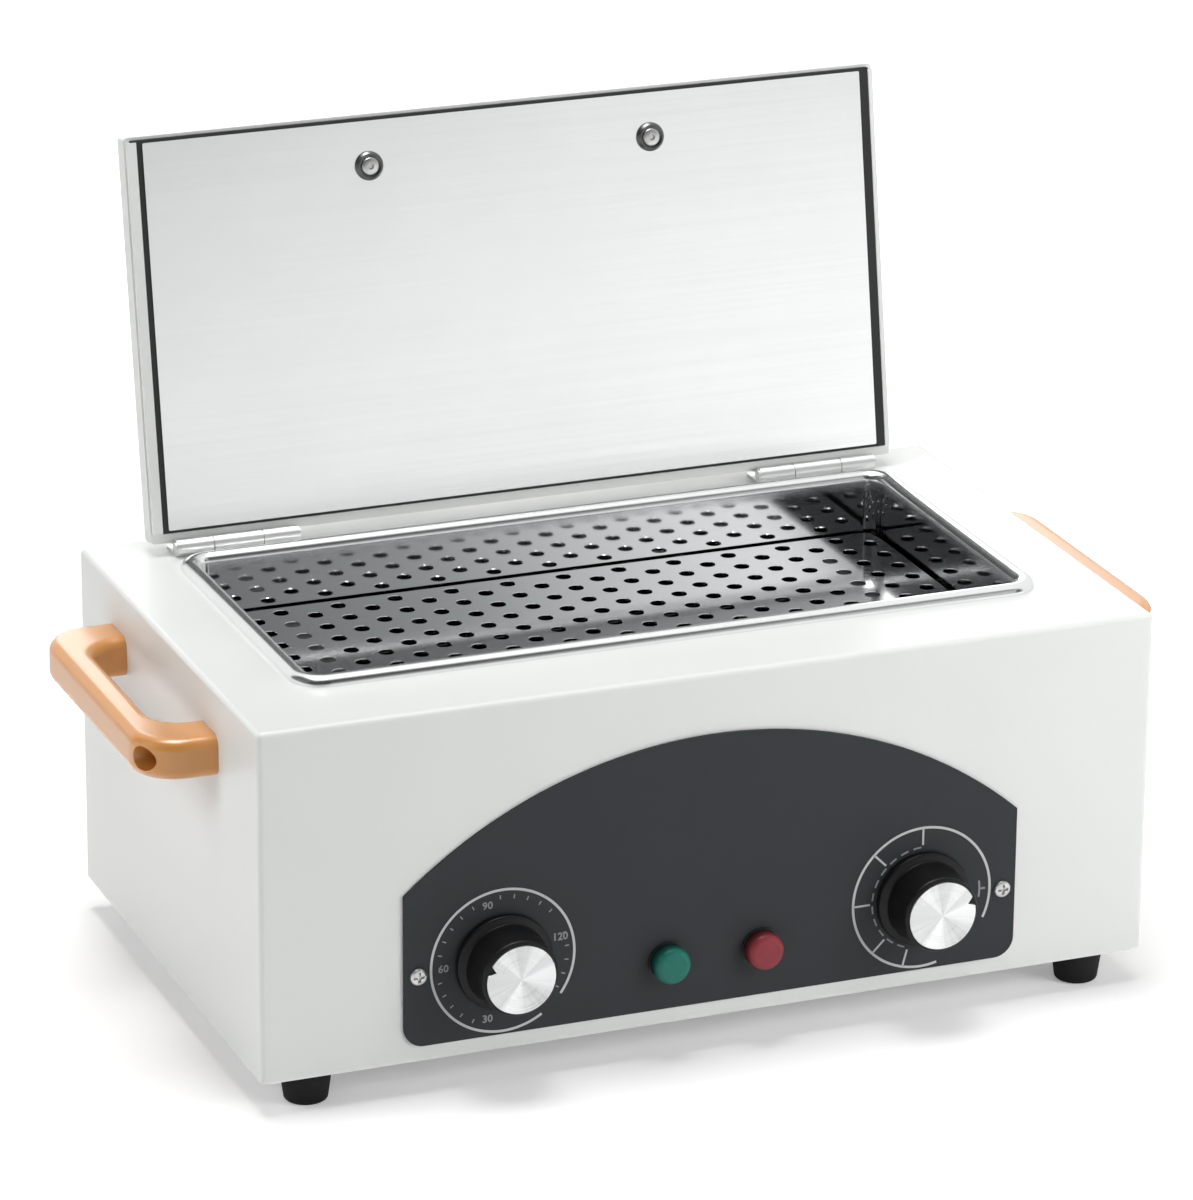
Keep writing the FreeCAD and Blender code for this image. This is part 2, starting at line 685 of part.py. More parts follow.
def perforated_tray():
    """Flat tray with staggered rows of holes."""
    x, y = tank_x - s.tray_clear, tank_half_y - s.tray_clear
    top = case_top - s.tray_below
    tray = slab((-x, tank_y - y, top - s.tray_sheet), (x, tank_y + y, top), s.tray_corner)
    sketch = sketch_on(tray, "XY_Plane", top)
    radius = s.tray_hole / 2
    angles = [math.radians(60 * number) for number in range(6)]
    start = tank_y + s.tray_holes_back - s.tray_row * (s.tray_rows - 1) / 2
    for shift in (0, 1):
        first = -s.tray_column * (s.tray_columns - 1) / 2 + shift * s.tray_column
        near = start + (1 - 2 * shift) * s.tray_row / 4
        outline(sketch, [(first + radius * math.cos(a), near + radius * math.sin(a)) for a in angles])
    punched = feature(tray, "Pocket", sketch, Length=2 * s.tray_sheet, Refine=False)
    across = ("H_Axis", s.tray_column * (s.tray_columns - 2), s.tray_columns / 2)
    deep = ("V_Axis", s.tray_row * (s.tray_rows - 1), s.tray_rows)
    pattern(tray, punched, sketch, *across, second=deep)
    keep(tray, "perforated_tray")


def tray_legs():
    """Two folded strips that carry the tray on the tank floor."""
    legs = []
    top = case_top - s.tray_below - s.tray_sheet
    half = s.tray_leg_long / 2
    thick = s.tray_leg_sheet
    for side in LEFT_AND_RIGHT.values():
        x = side * s.tray_leg_x
        ends = [(x, x - side * s.tray_leg_foot), (x, x + side * thick)]
        ends = [sorted(pair, key=amount) for pair in ends]
        foot = box((ends[0][0], tank_y - half, tank_floor), (ends[0][1], tank_y + half, tank_floor + thick))
        wall = box((ends[1][0], tank_y - half, tank_floor), (ends[1][1], tank_y + half, top))
        flange = box((ends[0][0], tank_y - half, top - thick), (ends[0][1], tank_y + half, top))
        legs.append(fused([foot, wall, flange]))
    keep(group(legs), "tray_legs")


def tank_insulation():
    """Sleeve of mineral wool round the tank walls, resting on the bridges."""
    grow = s.tank_sheet + s.wool_clear
    x, y = tank_x + grow, tank_half_y + grow
    top = case_top - s.case_sheet - s.wool_below_case
    inner = slab((-x, tank_y - y, bridge_top - PAST), (x, tank_y + y, top + PAST), tank_round + grow)
    x, y = x + s.wool_thick, y + s.wool_thick
    outer = slab((-x, tank_y - y, bridge_top), (x, tank_y + y, top), tank_round + grow + s.wool_thick)
    keep(cut(outer, [inner]), "tank_insulation")


def heater():
    """Hairpin element under the tank floor, pressed up by a plate on two bridges."""
    level = tank_under - s.heater_gap - s.heater_dia / 2
    low = level - s.heater_drop
    near, far = tank_y - s.heater_half, tank_y + s.heater_half
    left, right = -s.heater_reach, s.heater_reach
    route = [(right, near, low), (right, near, level, s.heater_bend), (left, near, level, s.heater_half),
             (left, far, level, s.heater_half), (right, far, level, s.heater_bend), (right, far, low)]
    keep(tube("heater", s.heater_dia, route), "heater_element")
    x, y = s.press_long / 2, s.press_wide / 2
    keep(slab((-x, tank_y - y, bridge_top), (x, tank_y + y, press_top), s.tray_corner), "heater_press_plate")


def tank_bridge(side):
    """Folded strap from the base plate, under the tank and back down, its feet turned in."""
    body = new_body("Bridge")
    sketch = sketch_on(body, "YZ_Plane", side * s.bridge_x)
    foot, thick = s.bridge_foot, s.bridge_sheet
    near, far = tank_y - s.bridge_half, tank_y + s.bridge_half
    tread, under = case_low + thick, bridge_top - thick
    outline(sketch, [(near, case_low), (near + foot, case_low), (near + foot, tread), (near + thick, tread),
                     (near + thick, under), (far - thick, under), (far - thick, tread), (far - foot, tread),
                     (far - foot, case_low), (far, case_low), (far, bridge_top), (near, bridge_top)])
    feature(body, "Pad", sketch, Length=s.bridge_wide, Midplane=True)
    return body


def sensors():
    """Overheat cut-out under the tank floor, and the probe with its capillary."""
    top = (s.cutout_x, tank_y, tank_under - s.cutout_high)
    keep(rod(s.cutout_dia, s.cutout_high, top), "overheat_cutout")
    level = tank_under - s.heater_gap - s.probe_dia / 2
    y = tank_y + s.probe_y
    half = s.probe_long / 2
    bulb = rod(s.probe_dia, s.probe_long, (-half, y, level), "X")
    start = (s.capillary_x, front_inside + s.heat_long, s.capillary_z)
    route = [start, (s.capillary_x, y, s.capillary_z, s.capillary_bend),
             (s.capillary_x, y, level, s.capillary_bend), (half, y, level)]
    keep(group([bulb, tube("capillary", s.capillary_dia, route)]), "heat_probe")


# Front panel, controls and lamps

def front_panel():
    """Dark panel with an arched top, held by two screws."""
    body = new_body("Panel")
    sketch = sketch_on(body, "XZ_Plane", half_depth)
    half, rise = s.panel_width / 2, s.panel_crown - s.panel_shoulder
    low, shoulder = case_low + s.panel_bottom, case_low + s.panel_shoulder
    crown = (half * half + rise * rise) / (2 * rise)
    outline(sketch, [(-half, low), (half, low), (half, shoulder), (-half, shoulder)], {2: crown})
    step = feature(body, "Pad", sketch, Length=s.panel_sheet)
    foot = amount(low) + 1e-3
    corners = edges_where(step, lambda b, e: b.XLength < 1e-4 and b.ZMax < foot)
    rounded(body, corners, s.panel_corner)
    deep, start = 3 * s.panel_sheet, panel_face - s.panel_sheet
    tools = []
    for side in LEFT_AND_RIGHT.values():
        tools.append(rod(hole(s.bush_dia), deep, (side * s.knob_x, start, control_z), "Y"))
        tools.append(rod(hole(s.lamp_barrel), deep, (side * s.lamp_x, start, lamp_z), "Y"))
        spot = (side * panel_screw_x, start, case_low + s.panel_screw_z)
        tools.append(rod(hole(s.m3), deep, spot, "Y"))
    keep(cut(body, tools), "front_panel")
    spots = [(x, panel_face, case_low + s.panel_screw_z) for x in (-panel_screw_x, panel_screw_x)]
    keep(screws(spots, s.m3, (s.panel_head_dia, s.m3_head), s.m3_long, -1, "Y"), "panel_screws")


def knob(x, label):
    """Round knob with a skirt, hollow below over the nut of its control."""
    bore = s.shaft_dia / 2 + s.fit
    end = s.hub_deep + s.shaft_grip
    body = turned([(s.hub_dia / 2, 0), (s.skirt_dia / 2, 0), (s.skirt_dia / 2, s.skirt_high),
                   (s.knob_waist_dia / 2, s.skirt_high), (s.knob_top_dia / 2, s.knob_high), (0, s.knob_high),
                   (0, end), (bore, end), (bore, s.hub_deep), (s.hub_dia / 2, s.hub_deep)])
    crown = amount(s.knob_high) - 1e-3
    rounded(body, edges_where(body.Tip, lambda b, e: b.ZMin > crown), s.knob_round)
    keep(place(body, (x, panel_face - s.knob_gap, control_z), TO_FRONT), label)


def knob_cap(x, turn, way, label):
    """Spun metal cap with a notch that points at the scale."""
    body = new_body("Cap")
    sketch = sketch_on(body, "XY_Plane", s.knob_high)
    circle(sketch, (0, 0), s.cap_dia / 2)
    feature(body, "Pad", sketch, Length=s.cap_sheet)
    mark = sketch_on(body, "XY_Plane", s.knob_high + s.cap_sheet)
    aim = FreeCAD.Rotation(way * Z_AXIS, amount(turn))
    mark.AttachmentOffset = FreeCAD.Placement(mark.AttachmentOffset.Base, aim)
    bind(mark, "AttachmentOffset.Rotation.Angle", turn)
    point, mouth, half = s.cap_dia / 2 - s.notch_deep, s.cap_dia / 2 + PAST, s.notch_wide / 2
    outline(mark, [(0, point), (half, mouth), (-half, mouth)])
    feature(body, "Pocket", mark, Length=2 * s.cap_sheet)
    keep(place(body, (x, panel_face - s.knob_gap, control_z), TO_FRONT), label)


def shaft(x, label):
    """Steel shaft from the control to the knob."""
    end = panel_face - s.knob_gap - s.hub_deep - s.shaft_grip
    keep(rod(s.shaft_dia, front_inside + s.shaft_inside - end, (x, end, control_z), "Y"), label)


def control_unit(block, x, label):
    """A control behind the case front, with a bush through the panel for its shaft."""
    nose = panel_face - s.bush_out
    through = front_inside - nose
    bush = rod(s.bush_dia, through + PAST, (x, nose, control_z), "Y")
    start = (x, nose - PAST, control_z)
    bore = rod(hole(s.shaft_dia, s.fit), s.shaft_inside + through + 2 * PAST, start, "Y")
    keep(cut(fused([block, bush]), [bore]), label)


def controls():
    """Timer on the left, temperature control on the right, each with nut, shaft and knob."""
    half, x = s.timer_side / 2, -s.knob_x
    low = (x - half, front_inside, control_z - half)
    timer = box(low, (x + half, front_inside + s.timer_long, control_z + half))
    control_unit(timer, -s.knob_x, "timer_unit")
    heat = rod(s.heat_dia, s.heat_long, (s.knob_x, front_inside, control_z), "Y")
    control_unit(heat, s.knob_x, "heat_unit")
    spots = [(side * s.knob_x, panel_face - s.control_nut, control_z) for side in LEFT_AND_RIGHT.values()]
    keep(group([nut(s.control_nut_across, s.bush_dia, s.control_nut, spot, "Y") for spot in spots]),
         "control_nuts")
    for name, x, turn, way in (("timer", -s.knob_x, s.timer_turn, 1), ("heat", s.knob_x, s.heat_turn, -1)):
        knob(x, f"{name}_knob")
        knob_cap(x, turn, way, f"{name}_knob_cap")
        shaft(x, f"{name}_shaft")


def lamp(x, colour):
    """Pilot lamp: a holder with a thin bezel, and a round lens with a flat front and a soft rim."""
    barrel, seat, bezel = s.lamp_barrel / 2, s.lens_dia / 2 + s.fit, s.bezel_dia / 2
    holder = turned([(0, -s.lamp_long), (barrel, -s.lamp_long), (barrel, 0), (bezel, 0),
                     (bezel, s.bezel_high), (seat, s.bezel_high), (seat, s.lens_seat), (0, s.lens_seat)])
    keep(place(holder, (x, panel_face, lamp_z), TO_FRONT), f"lamp_holder_{colour}")
    radius, front = s.lens_dia / 2, amount(s.lens_out) - 1e-3
    lens = turned([(0, s.lens_seat), (radius, s.lens_seat), (radius, s.lens_out), (0, s.lens_out)])
    rounded(lens, edges_where(lens.Tip, lambda b, e: b.ZMin > front), s.lens_round)
    keep(place(lens, (x, panel_face, lamp_z), TO_FRONT), f"lamp_lens_{colour}")


def lamps():
    """Green lamp on the left, red on the right, and their nuts behind the case front."""
    lamp(-s.lamp_x, "green")
    lamp(s.lamp_x, "red")
    nuts = [nut(s.lamp_nut_across, s.lamp_barrel, s.lamp_nut, (x, front_inside, lamp_z), "Y")
            for x in (-s.lamp_x, s.lamp_x)]
    keep(group(nuts), "lamp_nuts")


# Mains inlet and terminals

def mains_inlet():
    """Socket in the rear wall for an appliance lead, its three pins and two screws."""
    level = case_low + s.inlet_z
    wide, high = s.inlet_flange / 2, s.inlet_flange_high / 2
    flange = box((s.inlet_x - wide, half_depth, level - high),
                 (s.inlet_x + wide, half_depth + s.inlet_sheet, level + high))
    wide, high = s.inlet_wide / 2, s.inlet_high / 2
    start = half_depth - s.inlet_long
    housing = box((s.inlet_x - wide, start, level - high),
                  (s.inlet_x + wide, half_depth + PAST, level + high))
    face = half_depth + s.inlet_sheet
    wide, high = wide - s.inlet_wall, high - s.inlet_wall
    floor = face - s.inlet_socket
    tools = [box((s.inlet_x - wide, floor, level - high), (s.inlet_x + wide, face + PAST, level + high))]
    for x in (-s.inlet_screw_x, s.inlet_screw_x):
        spot = (s.inlet_x + x, half_depth - s.inlet_sheet, level)
        tools.append(rod(hole(s.m3), 3 * s.inlet_sheet, spot, "Y"))
    keep(cut(fused([flange, housing]), tools), "mains_inlet")
    pins = []
    for x, z in ((-s.pin_x, -s.pin_z), (0, s.pin_z), (s.pin_x, -s.pin_z)):
        low = (s.inlet_x + x - s.pin_wide / 2, floor, level + z - s.pin_high / 2)
        high = (s.inlet_x + x + s.pin_wide / 2, floor + s.pin_long, level + z + s.pin_high / 2)
        pins.append(box(low, high))
    keep(group(pins), "inlet_pins")
    spots = [(s.inlet_x + x, face, level) for x in (-s.inlet_screw_x, s.inlet_screw_x)]
    keep(screws(spots, s.m3, (s.m3_head_dia, s.m3_head), s.m3_long, 1, "Y"), "inlet_screws")


def terminal_block():
    """Ribbed ceramic block on the base plate where the internal leads meet."""
    x, y = s.block_x - s.block_long / 2, s.block_y - s.block_wide / 2
    high = case_low + s.block_high
    block = box((x, y, case_low), (x + s.block_long, y + s.block_wide, high))
    way = (s.block_long - s.block_rib) / s.block_ways
    tools = []
    for number in range(DRIVING["block_ways"]):
        left = x + s.block_rib + number * way
        low = (left, y - PAST, high - s.block_high / 3)
        tools.append(box(low, (left + way - s.block_rib, y + s.block_wide + PAST, high + PAST)))
    keep(cut(block, tools), "terminal_block")


# Handles

def grip(long):
    """Moulded bow handle with rounded edges, drawn out from its seat along X."""
    body = new_body("Grip")
    sketch = sketch_on(body, "XY_Plane")
    half, leg, bar = long / 2, long / 2 - s.grip_leg, s.grip_reach - s.grip_bar
    outline(sketch, [(0, -half), (s.grip_reach, -half), (s.grip_reach, half), (0, half),
                     (0, leg), (bar, leg), (bar, -leg), (0, -leg)])
    step = feature(body, "Pad", sketch, Length=s.grip_high, Midplane=True)
    outer = amount(s.grip_reach) - 1e-3
    rounded(body, edges_where(step, lambda b, e: upright(b) and b.XMin > outer), s.grip_round)
    inner = amount(bar)
    bends = edges_where(body.Tip, lambda b, e: upright(b) and abs(b.XMin - inner) < 1e-3)
    rounded(body, bends, s.grip_inner)
    face = amount(s.grip_high) / 2
    flat = lambda b: b.ZLength < 1e-4 and abs(abs(b.ZMin) - face) < 1e-3
    rims = edges_where(body.Tip, lambda b, e: flat(b) and b.XMax > 1e-3)
    rounded(body, rims, s.grip_edge)
    return body


def side_handle(name, side):
    """Handle on one side of the case, bolted through sunk holes."""
    handle = grip(s.grip_long)
    place(handle, (side * half_width, tank_y, handle_z), FreeCAD.Rotation(Z_AXIS, 0 if side > 0 else 180))
    tools = []
    for y in (-handle_screw, handle_screw):
        seat, tip = side * (half_width + s.grip_seat), side * (half_width + s.grip_reach + PAST)
        wall, end = side * (half_width - PAST), side * (half_width + s.grip_seat + PAST)
        sink = sorted((seat, tip), key=amount)
        shank = sorted((wall, end), key=amount)
        tools.append(rod(s.grip_sink_dia, sink[1] - sink[0], (sink[0], tank_y + y, handle_z), "X"))
        tools.append(rod(hole(s.m4), shank[1] - shank[0], (shank[0], tank_y + y, handle_z), "X"))
    keep(cut(handle, tools), f"handle_{name}")


def handle_fixings():
    """Screws through the handle legs and nuts inside the case."""
    head = (s.m4_head_dia, s.m4_head)
    seat = half_width + s.grip_seat
    inside = half_width - s.case_sheet
    long = s.grip_seat + s.case_sheet + s.m4_nut + s.screw_end
    ys = (tank_y - handle_screw, tank_y + handle_screw)
    left = screws([(-seat, y, handle_z) for y in ys], s.m4, head, long, -1, "X")
    right = screws([(seat, y, handle_z) for y in ys], s.m4, head, long, 1, "X")
    keep(group([left, right]), "handle_screws")
    nuts = [nut(s.m4_nut_across, s.m4, s.m4_nut, (start, y, handle_z), "X")
            for start in (-inside, inside - s.m4_nut) for y in ys]
    keep(group(nuts), "handle_nuts")


# Lid, drawn closed about the hinge axis, with its front towards -Y

def lid_bores(diameter, low, high):
    """Holes for the two handle screws between two heights of the lid."""
    return [rod(diameter, high - low, (x, y, low)) for x, y in lid_handle_spots]


def lid_shell():
    """Outer cover of the lid, folded from steel sheet with a lip all round."""
    low, high = (-lid_x, lid_near, lid_low), (lid_x, lid_rear, lid_top)
    shell = folded(low, high, s.lid_sheet, s.lid_bend, s.lid_lip)
    tools = lid_bores(hole(s.m5), lid_top - 2 * s.lid_sheet, lid_top + s.lid_sheet)
    for side in LEFT_AND_RIGHT.values():
        for x in (-s.leaf_screw_x, s.leaf_screw_x):
            spot = (side * s.hinge_x + x, lid_rear - 2 * s.lid_sheet, s.lid_screw_z)
            tools.append(rod(hole(s.m3, s.fit), 3 * s.lid_sheet, spot, "Y"))
    keep(hang(cut(shell, tools)), "lid_shell")


def lid_filling():
    """Insulation board inside the lip of the lid."""
    edge = s.lid_lip + s.seal_over_lip + s.board_gap
    low = (edge - lid_x, lid_near + edge, seal_low)
    high = (lid_x - edge, lid_rear - edge, lid_top - s.lid_sheet)
    board = slab(low, high, s.liner_corner)
    keep(hang(cut(board, lid_bores(hole(s.m5), seal_low - PAST, lid_top))), "lid_insulation")


def lid_liner():
    """Bright sheet that closes over the tank."""
    x, edge = lid_x - s.seal_side - s.liner_side, s.liner_edge
    low = (-x, lid_near + s.seal_front + edge, liner_low)
    liner = slab(low, (x, lid_rear - s.seal_rear - edge, seal_low), s.liner_corner)
    keep(hang(cut(liner, lid_bores(hole(s.m5), liner_low - PAST, seal_low + PAST))), "lid_liner")


def lid_seal():
    """Dark gasket frame between the liner and the lid shell."""
    x = lid_x - s.seal_side
    low = (-x, lid_near + s.seal_front, seal_low)
    outer = slab(low, (x, lid_rear - s.seal_rear, lid_low), s.seal_corner)
    edge = s.lid_lip + s.seal_over_lip
    low = (edge - lid_x, lid_near + edge, seal_low - PAST)
    inner = slab(low, (lid_x - edge, lid_rear - edge, lid_low + PAST), s.seal_corner / 2)
    keep(hang(cut(outer, [inner])), "lid_seal")


def lid_handle():
    """Handle on the outer face of the lid, with its two screws and lock washers."""
    handle = grip(s.lid_grip_long)
    place(handle, (0, grip_line, lid_top), LID_OUTWARD)
    tools = lid_bores(hole(s.m5, s.fit), lid_top - PAST, lid_top + s.lid_grip_depth + PAST)
    keep(hang(cut(handle, tools)), "lid_handle")
    under = liner_low - s.washer_sheet
    spots = [(x, y, under) for x, y in lid_handle_spots]
    long = lid_top + s.lid_grip_depth - under
    keep(hang(screws(spots, s.m5, (s.m5_head_dia, s.m5_head), long, -1)), "liner_screws")
    washers = [cut(rod(s.washer_dia, s.washer_sheet, spot),
                   [rod(hole(s.m5, s.fit), 3 * s.washer_sheet, (spot[0], spot[1], under - s.washer_sheet))])
               for spot in spots]
    keep(hang(group(washers)), "liner_washers")


# Hinges, drawn about their axis

def knuckle(start, end):
    """Rolled barrel of a hinge leaf between two places along the axis."""
    return rod(s.knuckle_dia, end - start, (start, 0, 0), "X")


def hinge_bore(left):
    """Bore for the pin through all knuckles of a hinge that starts at left."""
    return rod(hole(s.hinge_pin_dia, s.fit), s.hinge_long + 2 * PAST, (left - PAST, 0, 0), "X")


def leaf_screw_xs(x):
    """Where the two screws of a leaf stand."""
    return (x - s.leaf_screw_x, x + s.leaf_screw_x)


def hinge(name, side):
    """Butt hinge: a leaf with two knuckles on the case, a leaf with one on the lid, and a pin."""
    x = side * s.hinge_x
    left, right = x - s.hinge_long / 2, x + s.hinge_long / 2
    mid_left, mid_right = x - s.knuckle_mid / 2, x + s.knuckle_mid / 2
    clear = s.knuckle_dia / 2 + s.knuckle_gap
    under = -s.hinge_rise
    flat = box((left, 0, under), (right, s.leaf_deep, under + s.leaf_sheet))
    notch = box((mid_left - s.knuckle_gap, -PAST, under - PAST),
                (mid_right + s.knuckle_gap, clear, under + clear))
    ends = [knuckle(left, mid_left - s.knuckle_gap), knuckle(mid_right + s.knuckle_gap, right)]
    sinks = [cone(s.m3 + 2 * s.fit, s.m3_head_dia + 2 * s.fit, s.leaf_sheet, (spot, s.case_screw_y, under))
             for spot in leaf_screw_xs(x)]
    leaf = cut(fused([cut(flat, [notch])] + ends), [hinge_bore(left)] + sinks)
    keep(about_hinge(leaf), f"hinge_case_leaf_{name}")
    outside = lid_rear + s.leaf_sheet
    plate = box((left, lid_rear, clear), (right, outside, s.leaf_high))
    neck = box((mid_left, lid_rear, s.hinge_pin_dia / 2 + s.fit), (mid_right, outside, clear))
    holes = [rod(hole(s.m3, s.fit), 3 * s.leaf_sheet, (spot, lid_rear - s.leaf_sheet, s.lid_screw_z), "Y")
             for spot in leaf_screw_xs(x)]
    leaf = cut(fused([plate, neck, knuckle(mid_left, mid_right)]), [hinge_bore(left)] + holes)
    keep(hang(leaf), f"hinge_lid_leaf_{name}")
    pin = rod(s.hinge_pin_dia, s.hinge_long + 2 * s.pin_out, (left - s.pin_out, 0, 0), "X")
    keep(about_hinge(group([pin])), f"hinge_pin_{name}")


def hinge_screws():
    """Sunk screws in the case leaves, pan head screws in the lid leaves that stop the lid."""
    sunk, raised = [], []
    under = -s.hinge_rise
    for side in LEFT_AND_RIGHT.values():
        for x in leaf_screw_xs(side * s.hinge_x):
            head = cone(s.m3, s.m3_head_dia, s.leaf_sheet, (x, s.case_screw_y, under))
            shank = rod(s.m3, s.m3_long, (x, s.case_screw_y, under - s.m3_long))
            sunk.append(fused([head, shank]))
            raised.append((x, s.leaf_sheet - s.lid_back, s.lid_screw_z))
    keep(about_hinge(group(sunk)), "hinge_case_screws")
    keep(hang(screws(raised, s.m3, (s.m3_head_dia, s.m3_head), s.m3_long, 1, "Y")), "hinge_lid_screws")


def build():
    """Every sub-part of the sterilizer."""
    case_shell()
    base_plate()
    base_screws()
    feet()
    chamber_tank()
    perforated_tray()
    tray_legs()
    tank_insulation()
    heater()
    for name, side in LEFT_AND_RIGHT.items():
        keep(tank_bridge(side), f"tank_bridge_{name}")
        side_handle(name, side)
        hinge(name, side)
    sensors()
    front_panel()
    controls()
    lamps()
    mains_inlet()
    terminal_block()
    handle_fixings()
    lid_shell()
    lid_filling()
    lid_liner()
    lid_seal()
    lid_handle()
    hinge_screws()
    doc.recompute()


def check():
    """Stop if any step failed or any sub-part has no sound shape."""
    failed = [item.Label for item in doc.Objects if {"Invalid", "Error"} & set(item.State)]
    unsound = [item.Label for item in NODES if item.Shape.isNull() or not item.Shape.isValid()]
    if failed or unsound:
        raise RuntimeError(f"failed steps {failed}, unsound sub-parts {unsound}")


def export():
    """One file for each sub-part, named by its label."""
    os.makedirs("parts", exist_ok=True)
    for item in NODES:
        item.Shape.exportStep(f"parts/{item.Label}.step")


build()
check()
export()
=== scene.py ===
import json

import bpy
import bmesh
import numpy as np
from mathutils import Matrix, Vector


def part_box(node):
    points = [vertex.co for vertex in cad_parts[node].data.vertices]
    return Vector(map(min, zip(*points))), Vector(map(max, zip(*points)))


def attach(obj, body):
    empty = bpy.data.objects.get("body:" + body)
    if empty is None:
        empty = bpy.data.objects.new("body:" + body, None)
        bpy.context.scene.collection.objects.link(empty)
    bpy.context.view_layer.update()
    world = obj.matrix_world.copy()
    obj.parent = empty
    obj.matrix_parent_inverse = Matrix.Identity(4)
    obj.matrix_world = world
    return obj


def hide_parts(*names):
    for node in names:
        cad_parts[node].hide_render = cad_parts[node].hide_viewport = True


# Looks of a small dry heat sterilizer: powder coated case, polished tank with a perforated tray,
# dark panel with two knobs and two lamps, brown moulded handles. Lengths are metres.

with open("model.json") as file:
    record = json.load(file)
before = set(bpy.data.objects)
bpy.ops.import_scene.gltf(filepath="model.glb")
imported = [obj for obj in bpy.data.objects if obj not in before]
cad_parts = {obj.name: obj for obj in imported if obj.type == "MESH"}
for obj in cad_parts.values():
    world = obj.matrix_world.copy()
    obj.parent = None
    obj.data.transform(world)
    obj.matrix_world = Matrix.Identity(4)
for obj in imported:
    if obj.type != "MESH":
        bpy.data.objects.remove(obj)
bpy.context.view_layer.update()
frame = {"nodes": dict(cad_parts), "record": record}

MM = 0.001

# Sizes of the pieces drawn here; their places come from the frame
BEAD = 3.8 * MM
TANK_SHEET = 0.8 * MM
TANK_FOLD = 4.0 * MM
RIM_CORNER = 13 * MM
TRAY_COLUMNS, TRAY_ROWS = 24, 9
TRAY_COLUMN, TRAY_ROW = 11.8 * MM, 13.7 * MM
TRAY_HOLE = 3.1 * MM
TRAY_HOLES_BACK = 1.6 * MM
TRAY_CORNER = 5 * MM
HOLE_EDGE = 0.12 * MM
KNOB_NECK, KNOB_WAIST, KNOB_CROWN = 8.5 * MM, 16 * MM, 15 * MM
KNOB_HOLLOW = 5.2 * MM
KNOB_ROUNDS = [0.5 * MM, 1.1 * MM, 1.0 * MM, 1.4 * MM]
SKIRT, SKIRT_RISE = 2.6 * MM, 3.4 * MM
CAP_NOTCH_DEEP, CAP_NOTCH_WIDE = 2.7 * MM, 3.8 * MM
CAP_EDGE = 0.25 * MM
CAP_LIP, CAP_FLAT = 0.985, 0.93
LENS_SEAT, LENS_ROUND = 0.1 * MM, 2.6 * MM
FOOT_TREAD, FOOT_HOLE, FOOT_SINK = 8.25 * MM, 5 * MM, 8 * MM
FOOT_ROUNDS = [0.2 * MM, 0.8 * MM, 1.5 * MM, 0.6 * MM]

# Screws and washers
SHANK, SHANK_SHARE = 5 * MM, 0.35
HEAD_SIDE = 0.45
EDGE_FADE = 0.3 * MM
PANEL_HEAD, PANEL_HEAD_RISE = 3.3 * MM, 1.8 * MM
CROSS_HALF, CROSS_REACH, CROSS_DEEP = 0.45 * MM, 2.1 * MM, 1.1 * MM
CUP_WIDE, CUP_HIGH, CUP_SEAT = 5.7 * MM, 1.5 * MM, 0.8 * MM
CUP_SIDE, CUP_TAPER = 0.3 * MM, 1.0 * MM
CUP_ROUNDS = [0.1 * MM, 0.2 * MM, 0.4 * MM, 0.2 * MM]
LINER_HEAD, LINER_HEAD_RISE = 3.4 * MM, 1.1 * MM
SOCKET, SOCKET_DEEP = 1.0 * MM, 0.8 * MM

# White edges beside the lid's seal: how far they reach past each side of it, and their section
STRIP_LEFT, STRIP_RIGHT = (-1.6 * MM, 2.3 * MM), (-0.4 * MM, 1.6 * MM)
STRIP_BACK, STRIP_FRONT, STRIP_SHORT = -3.0 * MM, -0.7 * MM, 0.6 * MM
STRIP_ROUNDS = [0.3 * MM, 0.3 * MM, 0.1 * MM]

# Ways that a turned piece can face: across, up and along its axis
FRONT = ((1, 0, 0), (0, 0, 1), (0, -1, 0))
UPRIGHT = ((1, 0, 0), (0, 1, 0), (0, 0, 1))
LID_LEAN = np.radians(9.74)
LID_FRONT = ((1, 0, 0), (0, np.sin(LID_LEAN), np.cos(LID_LEAN)), (0, -np.cos(LID_LEAN), np.sin(LID_LEAN)))

# Notches of the two caps, clockwise from the top
TIMER_MARK, HEAT_MARK = np.radians(-67), np.radians(71)

# Print of the two dials: directions in degrees, clockwise from the top, and reaches from the middle
RING, TIMER_RING, HEAT_RING = 28.5 * MM, (147, 486), (166, 475)
TIMER_NUMBERS = {195: "30", 270: "60", 345: "90", 435: "120"}
NUMBER_REACH, NUMBER_HIGH, NUMBER_BOLD = 23.6 * MM, 4.2 * MM, 0.1 * MM
TICKS, TICK_FIRST, TICK_TURN, TICKS_PER_NUMBER = 24, 195, 12.5, 6
TICK_INNER, TICK_OUTER = 24.8 * MM, 26.4 * MM
HEAT_STOPS, STOP_INNER = (0, 315, 270, 225, 195), 21.5 * MM
DASH_STARTS, DASH_TURN, DASH_REACH = range(199, 355, 15), 9, 20.6 * MM
REST_MARK, REST_HALF = 90, 8
REST_INNER, REST_OUTER = 24.2 * MM, 26.6 * MM
RING_LINE, STOP_LINE, DASH_LINE, TICK_LINE = 1.0 * MM, 0.8 * MM, 0.7 * MM, 0.5 * MM
PRINT_HIGH = 0.04 * MM

# Fineness of the turned and drawn shapes, and the angles in degrees from which a fold stays sharp
BEAD_STEPS, FOLD_STEPS = 17, 9
HEAD_RINGS = 25
CAP_STEPS = 360
TANK_CREASE, TRAY_CREASE, CAP_CREASE = 50, 40, 25

